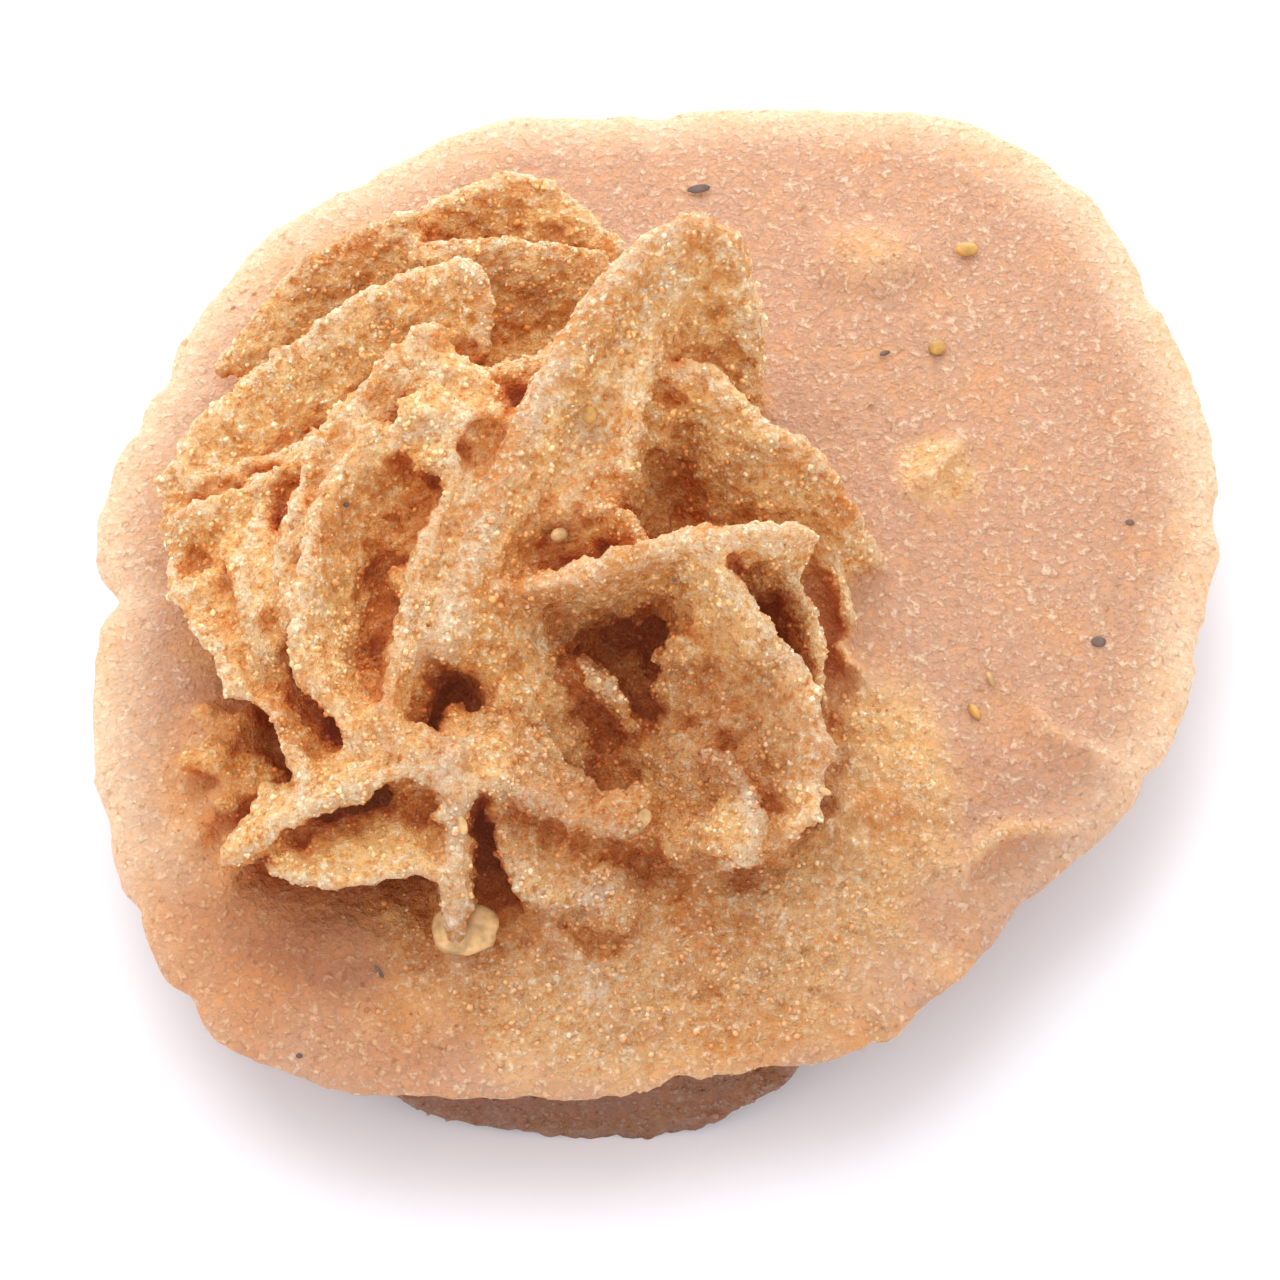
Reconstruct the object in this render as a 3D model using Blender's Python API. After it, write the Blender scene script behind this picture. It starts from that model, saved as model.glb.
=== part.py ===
"""A gypsum sand rose: one large lens-shaped crystal with a rosette of thin sandy blades grown
through its top.

Units in the tables are millimetres; the finished mesh is in metres, +Z up, standing on its
worn flat base with the origin at the bottom centre of its bounding box.
"""

import math

import bmesh
import bpy
from mathutils import Vector, noise

MM = 0.001

# The large disc: a lens about 40 mm across, carried clear of the ground on its belly.
RIM_HEIGHT = 5.0
RIM_THICKNESS = 0.75
DOME_RISE = 1.7
DOME_CURVE = 0.62
BELLY_DEPTH = 5.0
BELLY_CURVE = 0.9
# Radius of the rim every 12 degrees, counter-clockwise from +X.
RIM_RADII = [19.7, 20.8, 21.6, 22.4, 23.5, 23.4, 21.9, 21.0, 20.7, 21.3, 21.0, 21.0, 20.7, 20.4,
             20.6, 20.2, 20.6, 21.5, 22.4, 23.1, 22.1, 20.5, 19.5, 18.7, 18.9, 18.6, 17.7, 17.9,
             18.8, 19.3]
# Nicks in the rim: angle in degrees, depth, half width in degrees.
NICKS = [(180, 0.9, 1.8), (205, 0.3, 2.0), (214, 0.3, 1.5), (224, 0.5, 1.8), (272, 0.45, 1.2),
         (281, 0.25, 0.8), (300, 0.25, 2.0), (316, 0.3, 2.0), (338, 0.4, 1.8), (10, 0.25, 2.0),
         (35, 0.4, 1.6), (50, 0.25, 2.0), (90, 0.3, 2.0), (122, 0.3, 2.0), (153, 0.4, 1.8),
         (160, 0.2, 1.2)]
# Scallops round the rim: depth, how many fit round it, and the finer, shallower ones on them.
SCALLOP = 0.17
SCALLOPS_ROUND = 6.0
FINER = 2.7
FINER_SHARE = 0.5
SPOKES = 120
RING_SHARES = [0.04, 0.2, 0.4, 0.6, 0.75, 0.88, 0.96, 0.99]
RIM_BLUNTNESS = 0.8

# The rosette's blades. Each runs along a crest and is rooted along a foot line, both lists of
# points; rim and root are its thickness at the two.
BLADES = [
    dict(name="main", rim=(1.7, 1.15), root=(4.2, 4.6), flare=0.9,
         crest=[(-7.8, -5.6, 11.3), (-7.3, -3.9, 12.0), (-6.3, -0.8, 12.8), (-4.8, 2.6, 13.8),
                (-3.3, 5.1, 14.8), (-2.0, 7.0, 15.4), (-0.6, 8.6, 15.8), (1.1, 9.5, 16.0)],
         foot=[(-5.6, -4.8, 7.5), (-4.9, -3.4, 7.5), (-3.8, -0.6, 7.5), (-2.4, 2.2, 7.5),
               (-1.0, 4.2, 7.5), (0.0, 5.4, 7.0), (1.0, 6.2, 7.0), (1.8, 6.6, 7.0)]),
    dict(name="main_flank", rim=(1.45, 1.65), root=(3.2, 3.4),
         crest=[(0.2, 8.2, 14.4), (-0.7, 6.6, 13.4), (-1.6, 4.2, 12.4), (-2.6, 1.6, 12.2),
                (-3.6, -0.4, 12.2)],
         foot=[(0.8, 6.0, 7.5), (0.3, 5.0, 7.5), (-0.4, 3.4, 7.5), (-1.4, 0.9, 7.5),
               (-2.6, -1.0, 7.5)]),
    dict(name="peak", rim=(1.05, 0.95), root=(3.0, 2.2),
         crest=[(0.9, 9.6, 15.8), (2.2, 9.6, 15.2), (3.1, 9.2, 14.4), (3.3, 8.6, 12.8),
                (3.4, 7.2, 11.6)],
         foot=[(0.2, 6.4, 7.5), (1.2, 6.2, 7.2), (2.2, 6.2, 7.0), (2.8, 6.2, 6.5),
               (3.0, 6.0, 6.0)]),
    dict(name="shoulder", rim=(0.95, 0.85), root=(2.4, 1.6),
         crest=[(-0.2, 5.4, 12.4), (1.4, 5.3, 13.0), (2.5, 4.5, 13.0), (3.8, 3.1, 12.5),
                (4.9, 2.8, 12.0), (6.0, 2.1, 11.0), (7.2, 1.2, 9.3), (8.2, 0.5, 7.3)],
         foot=[(-0.4, 3.4, 8.0), (0.9, 2.8, 7.6), (2.0, 1.6, 7.4), (3.2, 0.8, 7.2),
               (4.4, 0.6, 6.8), (5.4, 0.3, 6.4), (6.4, 0.1, 6.2), (7.4, -0.1, 6.0)]),
    dict(name="flank_edge", rim=(0.95, 1.05), root=(1.6, 1.4),
         crest=[(-0.1, 7.2, 13.9), (-0.5, 5.6, 13.5), (-0.9, 3.9, 13.1), (-1.1, 2.0, 12.8),
                (-1.3, 0.6, 12.4)],
         foot=[(-0.2, 5.6, 9.0), (-0.6, 4.4, 8.6), (-1.0, 3.0, 8.2), (-1.3, 1.4, 8.0),
               (-1.6, 0.2, 8.0)]),
    dict(name="spur", rim=(0.75, 0.75), root=(1.6, 1.2),
         crest=[(-2.6, 0.5, 12.2), (-1.5, -0.4, 12.8), (-0.5, -1.4, 13.2)],
         foot=[(-2.8, 0.0, 8.0), (-1.8, -0.8, 8.0), (-0.9, -1.8, 8.0)]),
    dict(name="bar", rim=(1.1, 1.1), root=(1.4, 1.4),
         crest=[(-5.2, -3.2, 12.0), (-3.4, -3.1, 12.6), (-2.0, -2.9, 13.0), (-0.3, -2.4, 13.4),
                (1.4, -2.1, 13.8), (3.1, -2.1, 14.0), (4.5, -1.9, 13.8), (5.5, -1.6, 13.0)],
         foot=[(-5.0, -2.4, 8.0), (-3.2, -2.0, 8.0), (-1.8, -1.8, 8.0), (-0.2, -1.4, 8.0),
               (1.4, -1.2, 7.5), (2.6, -1.2, 7.0), (3.6, -1.2, 7.0), (4.4, -1.2, 7.0)]),
    dict(name="shell", rim=(0.75, 0.75), root=(1.8, 1.4),
         crest=[(1.7, -2.6, 13.6), (2.5, -3.4, 13.2), (3.3, -4.3, 12.6), (4.3, -5.2, 11.8),
                (5.3, -6.1, 11.1), (5.7, -7.7, 10.4), (5.8, -9.2, 9.8), (5.5, -10.5, 9.2),
                (4.8, -11.2, 8.6), (4.0, -11.6, 7.5)],
         foot=[(0.4, -2.0, 8.2), (0.8, -3.0, 8.0), (1.4, -4.2, 7.6), (2.0, -5.4, 7.4),
               (2.4, -6.6, 7.2), (2.7, -7.8, 7.0), (2.8, -9.0, 6.8), (2.8, -9.8, 6.4),
               (2.8, -10.4, 6.2), (2.8, -10.8, 6.0)]),
    dict(name="shell_back", rim=(0.95, 0.85), root=(1.6, 1.2),
         crest=[(4.6, -1.7, 10.2), (5.3, -2.7, 9.8), (5.6, -4.3, 9.4), (5.8, -6.2, 8.8)],
         foot=[(3.8, -2.0, 6.2), (4.2, -3.0, 6.2), (4.4, -4.4, 6.2), (4.6, -6.0, 6.2)]),
    dict(name="shell_inner", rim=(0.75, 0.7), root=(1.4, 1.2),
         crest=[(1.6, -8.1, 9.4), (2.6, -8.9, 9.3), (3.3, -10.0, 9.1), (3.5, -11.2, 8.7),
                (3.0, -12.1, 8.1), (2.2, -12.1, 7.5)],
         foot=[(1.1, -7.6, 6.8), (1.4, -8.1, 6.8), (1.7, -8.8, 6.6), (1.8, -9.6, 6.4),
               (1.6, -10.2, 6.2), (1.2, -10.4, 6.2)]),
    dict(name="sill", rim=(0.8, 0.75), root=(2.2, 2.0), flare=0.8,
         crest=[(-6.6, -9.6, 10.1), (-5.3, -10.2, 10.0), (-4.0, -10.8, 9.7), (-2.4, -11.2, 9.3),
                (-0.4, -11.2, 8.7)],
         foot=[(-6.0, -7.2, 9.2), (-4.8, -8.0, 8.8), (-3.6, -8.8, 8.4), (-2.2, -9.6, 7.6),
               (-0.4, -9.9, 6.8)]),
    dict(name="sill_apron", rim=(0.75, 0.7), root=(1.3, 2.0), flare=0.8,
         crest=[(-5.6, -10.6, 9.0), (-5.55, -11.8, 8.5), (-5.05, -12.8, 8.1),
                (-4.2, -13.3, 7.8), (-3.4, -13.2, 7.6), (-2.2, -12.8, 7.5), (-1.0, -12.2, 7.5)],
         foot=[(-5.0, -9.6, 8.2), (-4.5, -10.0, 8.0), (-3.9, -10.2, 7.8), (-3.2, -10.4, 7.4),
               (-2.6, -10.4, 7.2), (-2.0, -10.4, 6.8), (-1.0, -10.4, 6.6)]),
    dict(name="prow", rim=(1.1, 1.1), root=(1.5, 1.3),
         crest=[(-7.0, -8.4, 10.6), (-7.0, -10.4, 10.2), (-7.0, -12.3, 9.4), (-7.0, -13.9, 8.4),
                (-6.9, -15.0, 6.8)],
         foot=[(-7.0, -8.0, 6.0), (-7.0, -9.6, 6.0), (-7.0, -11.2, 5.6), (-7.0, -12.6, 5.4),
               (-7.0, -13.8, 5.2)]),
    dict(name="left_upper", rim=(0.95, 0.8), root=(1.5, 1.2), flare=0.9,
         crest=[(-7.6, -9.5, 10.5), (-8.9, -9.8, 10.5), (-10.6, -10.5, 10.3),
                (-12.4, -11.0, 9.8), (-14.1, -11.8, 9.0), (-15.4, -12.0, 7.6)],
         foot=[(-7.9, -7.8, 9.6), (-9.3, -8.0, 9.6), (-10.9, -8.4, 9.2), (-12.4, -9.0, 8.2),
               (-13.8, -9.8, 7.2), (-14.8, -10.6, 6.2)]),
    dict(name="left_plate", rim=(0.75, 0.7), root=(0.9, 0.9),
         crest=[(-13.9, -12.2, 8.2), (-12.9, -12.7, 8.3), (-11.7, -13.0, 8.4),
                (-10.5, -13.1, 8.5), (-9.1, -12.8, 8.6), (-8.2, -12.7, 8.6),
                (-7.4, -13.0, 8.6)],
         foot=[(-13.1, -10.7, 7.6), (-12.1, -10.5, 7.8), (-11.0, -10.2, 8.0),
               (-10.0, -10.0, 8.1), (-9.0, -9.8, 8.2), (-8.1, -9.6, 8.2), (-7.4, -9.6, 8.2)]),
    dict(name="fan", rim=(0.7, 0.75), root=(1.5, 1.4), flare=0.8,
         crest=[(-17.4, -0.6, 9.3), (-17.2, -1.8, 9.5), (-16.6, -3.2, 9.6), (-15.6, -4.6, 9.8),
                (-15.1, -6.1, 9.9), (-13.8, -6.8, 10.0), (-13.3, -7.9, 10.0),
                (-12.7, -9.3, 10.0), (-12.4, -10.3, 10.1)],
         foot=[(-16.0, 0.3, 7.4), (-15.2, -0.6, 7.5), (-13.8, -1.7, 7.8), (-13.0, -3.4, 8.0),
               (-12.4, -4.9, 8.2), (-11.7, -6.0, 8.2), (-11.1, -7.2, 8.3), (-10.6, -8.3, 8.5),
               (-10.0, -9.1, 8.9)]),
    dict(name="left_fin", rim=(0.8, 0.75), root=(2.0, 2.0), flare=0.8,
         crest=[(-13.7, 1.0, 10.6), (-14.0, 0.2, 10.9), (-14.4, -1.0, 11.0),
                (-14.5, -2.2, 11.1), (-14.5, -3.4, 11.1), (-14.2, -4.4, 10.8),
                (-13.6, -5.3, 10.0)],
         foot=[(-12.9, 1.6, 8.4), (-13.2, 0.8, 8.4), (-13.4, -0.4, 8.2), (-13.5, -1.6, 8.2),
               (-13.5, -2.6, 8.2), (-13.4, -3.6, 8.2), (-13.0, -4.5, 8.2)]),
    dict(name="outer_leaf", rim=(0.7, 0.7), root=(1.0, 0.9),
         crest=[(-12.5, 0.9, 12.1), (-12.7, 0.1, 12.1), (-13.1, -0.9, 12.0),
                (-13.3, -2.1, 11.9), (-13.1, -3.3, 11.5), (-13.1, -4.5, 11.0)],
         foot=[(-11.9, 1.1, 9.2), (-12.0, 0.3, 9.2), (-12.3, -0.9, 9.2), (-12.4, -2.1, 9.2),
               (-12.3, -3.3, 9.2), (-12.3, -4.3, 9.2)]),
    dict(name="bowl", rim=(0.75, 0.75), root=(1.3, 1.2),
         crest=[(-8.8, 2.6, 13.6), (-10.0, 2.2, 13.5), (-10.7, 1.7, 13.4), (-11.5, 0.6, 13.2),
                (-12.0, -0.6, 13.1), (-12.3, -1.8, 12.9), (-12.5, -3.0, 12.5),
                (-12.7, -4.2, 12.1), (-12.8, -5.5, 11.7), (-12.3, -6.5, 11.4),
                (-11.5, -7.4, 11.2), (-10.8, -8.4, 10.9), (-10.3, -8.9, 10.6)],
         foot=[(-8.2, 1.2, 9.6), (-8.7, 0.8, 9.4), (-9.0, 0.2, 9.2), (-9.3, -0.6, 9.0),
               (-9.5, -1.4, 8.8), (-9.7, -2.4, 8.8), (-9.8, -3.4, 8.8), (-9.9, -4.4, 8.8),
               (-9.9, -5.3, 8.8), (-9.7, -6.1, 9.0), (-9.5, -7.0, 9.2), (-9.4, -7.6, 9.2),
               (-9.3, -8.0, 9.4)]),
    dict(name="bowl_back", rim=(1.35, 1.75), root=(2.0, 2.2),
         crest=[(-12.6, -3.6, 10.9), (-12.6, -2.2, 11.6), (-12.3, -0.6, 12.0),
                (-11.6, 0.9, 12.4), (-10.7, 2.2, 12.8), (-9.7, 3.4, 13.1), (-8.4, 4.4, 13.3)],
         foot=[(-12.4, -3.6, 8.6), (-12.3, -2.2, 8.6), (-12.0, -0.6, 8.8), (-11.3, 0.8, 9.0),
               (-10.4, 2.0, 9.2), (-9.4, 3.1, 9.4), (-8.2, 4.0, 9.4)]),
    dict(name="ridge", rim=(0.95, 0.95), root=(2.6, 2.0), flare=0.9,
         crest=[(-6.9, 1.2, 13.1), (-7.8, -0.9, 12.8), (-8.4, -2.5, 12.5), (-8.8, -4.5, 12.0),
                (-9.3, -6.5, 11.4), (-9.5, -8.4, 10.8)],
         foot=[(-6.4, 0.8, 8.0), (-7.1, -1.0, 8.0), (-7.6, -2.6, 8.0), (-8.0, -4.6, 8.0),
               (-8.6, -6.5, 8.0), (-9.0, -8.2, 8.0)]),
    dict(name="ridge_fill", rim=(1.15, 1.15), root=(2.4, 2.0),
         crest=[(-6.2, 1.6, 12.6), (-6.9, -0.6, 12.1), (-7.5, -2.4, 11.7), (-7.9, -3.8, 11.2),
                (-8.1, -4.6, 10.6)],
         foot=[(-5.6, 1.4, 8.0), (-6.2, -0.8, 8.0), (-6.8, -2.6, 8.0), (-7.2, -3.9, 8.0),
               (-7.5, -4.7, 8.0)]),
    dict(name="outer_bowl", rim=(0.8, 0.75), root=(1.6, 1.6),
         crest=[(-13.0, -1.9, 11.9), (-12.7, 0.0, 12.4), (-12.1, 2.1, 13.0), (-11.0, 3.5, 13.4),
                (-9.7, 4.7, 13.8), (-8.7, 5.8, 14.0), (-7.5, 6.6, 14.0)],
         foot=[(-11.4, -2.0, 8.5), (-11.0, 0.0, 8.6), (-10.3, 1.6, 8.8), (-9.3, 2.7, 9.0),
               (-8.3, 3.6, 9.2), (-7.4, 4.4, 9.2), (-6.4, 5.0, 9.2)]),
    dict(name="crumb_crest", rim=(0.85, 0.85), root=(2.0, 2.0),
         crest=[(-9.3, 2.0, 13.4), (-8.0, 2.3, 13.7), (-6.8, 2.5, 13.6), (-5.6, 2.9, 13.8)],
         foot=[(-9.0, 3.6, 9.6), (-7.9, 4.0, 9.6), (-6.8, 4.2, 9.6), (-5.4, 4.4, 9.6)]),
    dict(name="left_petal", rim=(0.75, 0.75), root=(2.4, 2.4),
         crest=[(-17.7, 0.4, 9.2), (-16.2, 1.4, 10.0), (-14.4, 1.9, 10.6), (-12.7, 2.5, 11.3),
                (-11.2, 3.1, 12.0)],
         foot=[(-16.2, -0.8, 7.0), (-15.0, -0.4, 7.4), (-13.6, 0.0, 8.0), (-12.2, 0.8, 8.4),
               (-11.0, 1.2, 8.8)]),
    dict(name="left_petal_back", rim=(0.7, 0.7), root=(1.5, 1.5),
         crest=[(-16.6, 2.3, 9.6), (-14.6, 3.0, 10.2), (-12.6, 3.3, 10.9), (-11.2, 4.0, 11.6)],
         foot=[(-15.6, 1.0, 7.2), (-14.2, 1.6, 7.6), (-12.6, 2.2, 8.0), (-11.0, 2.8, 8.4)]),
    dict(name="outer_petal", rim=(0.7, 0.7), root=(2.6, 2.8),
         crest=[(-17.7, 0.6, 8.9), (-17.4, 3.1, 9.6), (-16.3, 5.0, 10.0), (-14.6, 6.3, 10.5),
                (-12.9, 7.4, 11.1), (-11.6, 8.3, 11.7)],
         foot=[(-15.4, 1.0, 7.0), (-14.6, 2.7, 7.6), (-13.4, 3.8, 8.2), (-12.0, 4.7, 8.8),
               (-10.6, 5.4, 9.2), (-9.6, 6.2, 9.4)]),
    dict(name="back_petal", rim=(0.8, 0.85), root=(3.0, 3.0),
         crest=[(-12.7, 7.1, 11.4), (-11.3, 8.1, 12.3), (-9.2, 8.8, 13.0), (-7.4, 9.3, 13.3),
                (-6.4, 9.2, 13.2), (-6.0, 7.8, 12.5), (-6.1, 6.2, 11.8)],
         foot=[(-11.0, 4.8, 8.8), (-9.7, 5.4, 9.0), (-8.6, 5.8, 9.2), (-7.8, 6.0, 9.4),
               (-7.6, 5.8, 9.4), (-7.6, 5.4, 9.4), (-7.6, 5.0, 9.4)]),
    dict(name="far_petal", rim=(0.7, 0.75), root=(1.8, 1.8),
         crest=[(-16.4, 8.0, 7.6), (-14.0, 10.4, 9.4), (-12.0, 11.7, 10.4), (-10.2, 12.5, 10.7),
                (-8.6, 13.2, 10.6)],
         foot=[(-13.8, 7.8, 7.0), (-12.3, 9.0, 7.4), (-10.9, 9.8, 7.6), (-9.6, 10.4, 7.8),
               (-8.2, 10.9, 7.8)]),
    dict(name="far_ledge", rim=(0.75, 0.7), root=(2.0, 1.8),
         crest=[(-10.2, 13.2, 9.2), (-7.9, 14.1, 9.8), (-6.1, 14.8, 10.0), (-4.3, 14.9, 10.0),
                (-2.3, 13.4, 9.7), (-1.0, 12.4, 9.2)],
         foot=[(-9.0, 11.4, 7.2), (-7.2, 11.8, 7.4), (-5.6, 12.0, 7.4), (-4.0, 12.0, 7.4),
               (-2.6, 11.4, 7.2), (-1.6, 10.8, 7.0)]),
    dict(name="middle_ledge", rim=(0.75, 0.7), root=(1.8, 1.6),
         crest=[(-9.0, 11.8, 10.4), (-6.4, 11.7, 10.8), (-3.9, 11.6, 10.8), (-1.5, 11.2, 10.5)],
         foot=[(-8.2, 9.8, 8.0), (-6.2, 9.6, 7.8), (-4.0, 9.6, 7.6), (-2.0, 9.4, 7.2)]),
    dict(name="inner_blade", rim=(0.8, 0.75), root=(1.1, 1.0),
         crest=[(-3.1, -4.5, 9.8), (-2.1, -5.6, 9.7), (-1.4, -6.4, 9.3), (-0.8, -7.0, 8.7)],
         foot=[(-2.7, -4.3, 6.5), (-1.8, -5.2, 6.5), (-1.1, -6.0, 6.5), (-0.5, -6.6, 6.5)]),
    dict(name="apron_ridge", rim=(0.85, 0.75), root=(2.4, 2.0),
         crest=[(-4.6, -12.0, 7.8), (-3.6, -14.0, 7.0), (-2.2, -16.0, 6.3)],
         foot=[(-4.2, -11.6, 5.0), (-3.2, -13.6, 5.0), (-1.8, -15.6, 4.8)]),
    dict(name="near_shard", rim=(0.5, 0.5), root=(0.9, 0.7),
         crest=[(6.0, 0.5, 7.9), (6.5, -1.0, 8.2), (6.9, -2.6, 7.6)],
         foot=[(5.8, 0.3, 6.0), (6.2, -1.0, 6.0), (6.6, -2.4, 6.0)]),
    dict(name="far_shard", rim=(0.5, 0.5), root=(0.9, 0.7),
         crest=[(6.1, -2.8, 7.5), (6.7, -3.5, 7.7), (7.5, -4.3, 7.1)],
         foot=[(5.9, -3.0, 6.0), (6.5, -3.8, 6.0), (7.1, -4.4, 6.0)]),
    dict(name="loose_sliver", rim=(0.7, 0.7), root=(0.9, 1.0),
         crest=[(9.1, 3.3, 6.9), (10.0, 4.5, 7.35), (11.0, 5.9, 7.1)],
         foot=[(9.2, 3.2, 5.6), (10.1, 4.4, 5.6), (11.1, 5.8, 5.6)]),
    dict(name="near_fold", rim=(0.7, 0.7), root=(2.2, 2.0),
         crest=[(15.1, -9.5, 5.8), (13.3, -9.9, 6.35), (11.9, -10.2, 6.6), (11.2, -10.9, 6.5),
                (10.5, -11.9, 6.2), (9.7, -12.6, 5.9)],
         foot=[(14.3, -8.6, 4.9), (12.9, -8.7, 5.1), (11.2, -9.0, 5.3), (10.2, -10.1, 5.3),
               (9.5, -11.0, 5.1), (9.0, -11.8, 4.9)]),
    dict(name="step_fold", rim=(0.7, 0.7), root=(2.0, 1.8),
         crest=[(13.2, -4.3, 6.3), (13.8, -5.6, 6.4), (15.0, -6.2, 6.2), (16.6, -7.0, 5.8)],
         foot=[(12.2, -4.6, 5.3), (12.8, -6.4, 5.2), (14.4, -7.2, 5.0), (16.0, -8.0, 4.8)]),
    dict(name="under_front", rim=(0.85, 0.85), root=(3.2, 3.0),
         crest=[(-12.2, -15.6, 3.4), (-10.6, -17.2, 2.1), (-8.9, -18.0, 1.3),
                (-7.2, -18.3, 0.5), (-4.9, -18.6, 0.2), (-2.1, -18.7, -0.3), (0.7, -18.6, 0.0),
                (3.0, -18.2, 0.7), (5.2, -17.2, 1.2), (7.0, -16.0, 2.2), (8.2, -14.8, 3.2)],
         foot=[(-10.0, -13.4, 4.2), (-9.2, -14.0, 4.0), (-8.0, -14.6, 4.0), (-6.4, -15.0, 4.0),
               (-4.4, -15.3, 4.0), (-2.0, -15.4, 4.0), (0.4, -15.3, 4.0), (2.6, -15.0, 4.0),
               (4.4, -14.2, 4.0), (5.8, -13.4, 4.0), (6.8, -12.6, 4.2)]),
    dict(name="under_cross", rim=(0.85, 0.85), root=(2.2, 1.8),
         crest=[(-7.8, -17.4, 1.7), (-6.6, -15.0, 0.7), (-5.6, -12.4, 0.1), (-5.2, -9.6, 0.0)],
         foot=[(-6.6, -16.4, 4.2), (-5.6, -14.4, 4.0), (-4.8, -12.0, 3.6), (-4.4, -9.4, 3.2)]),
    dict(name="under_spur", rim=(0.8, 0.75), root=(1.8, 1.6),
         crest=[(3.2, -17.2, 1.6), (2.4, -14.6, 0.8), (2.6, -11.8, 0.5)],
         foot=[(2.2, -16.4, 4.2), (1.6, -14.2, 3.8), (1.8, -11.6, 3.4)]),
    dict(name="under_back", rim=(0.95, 0.95), root=(2.4, 2.4),
         crest=[(-13.0, 6.0, 1.2), (-10.5, 9.0, 0.3), (-7.0, 11.0, -0.2), (-3.0, 12.0, 0.3),
                (0.5, 12.0, 1.3)],
         foot=[(-10.0, 5.0, 3.4), (-8.0, 7.0, 3.4), (-5.0, 8.4, 3.4), (-2.0, 9.0, 3.4),
               (0.4, 9.2, 3.6)]),
    dict(name="under_side", rim=(0.95, 0.95), root=(2.4, 2.2),
         crest=[(11.5, -7.0, 1.7), (13.4, -3.5, 0.9), (13.8, 0.5, 0.7), (12.8, 4.0, 1.3)],
         foot=[(9.0, -6.0, 3.4), (10.4, -3.0, 3.2), (10.8, 0.4, 3.2), (10.2, 3.4, 3.4)]),
    dict(name="back_shelf", rim=(1.25, 1.25), root=(2.4, 2.4),
         crest=[(-6.6, 4.9, 12.5), (-5.4, 5.3, 12.8), (-4.2, 5.7, 12.8), (-3.4, 6.4, 12.6)],
         foot=[(-6.2, 3.0, 9.0), (-5.0, 3.2, 9.0), (-3.8, 3.6, 9.0), (-3.0, 4.4, 9.0)]),
]

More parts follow.
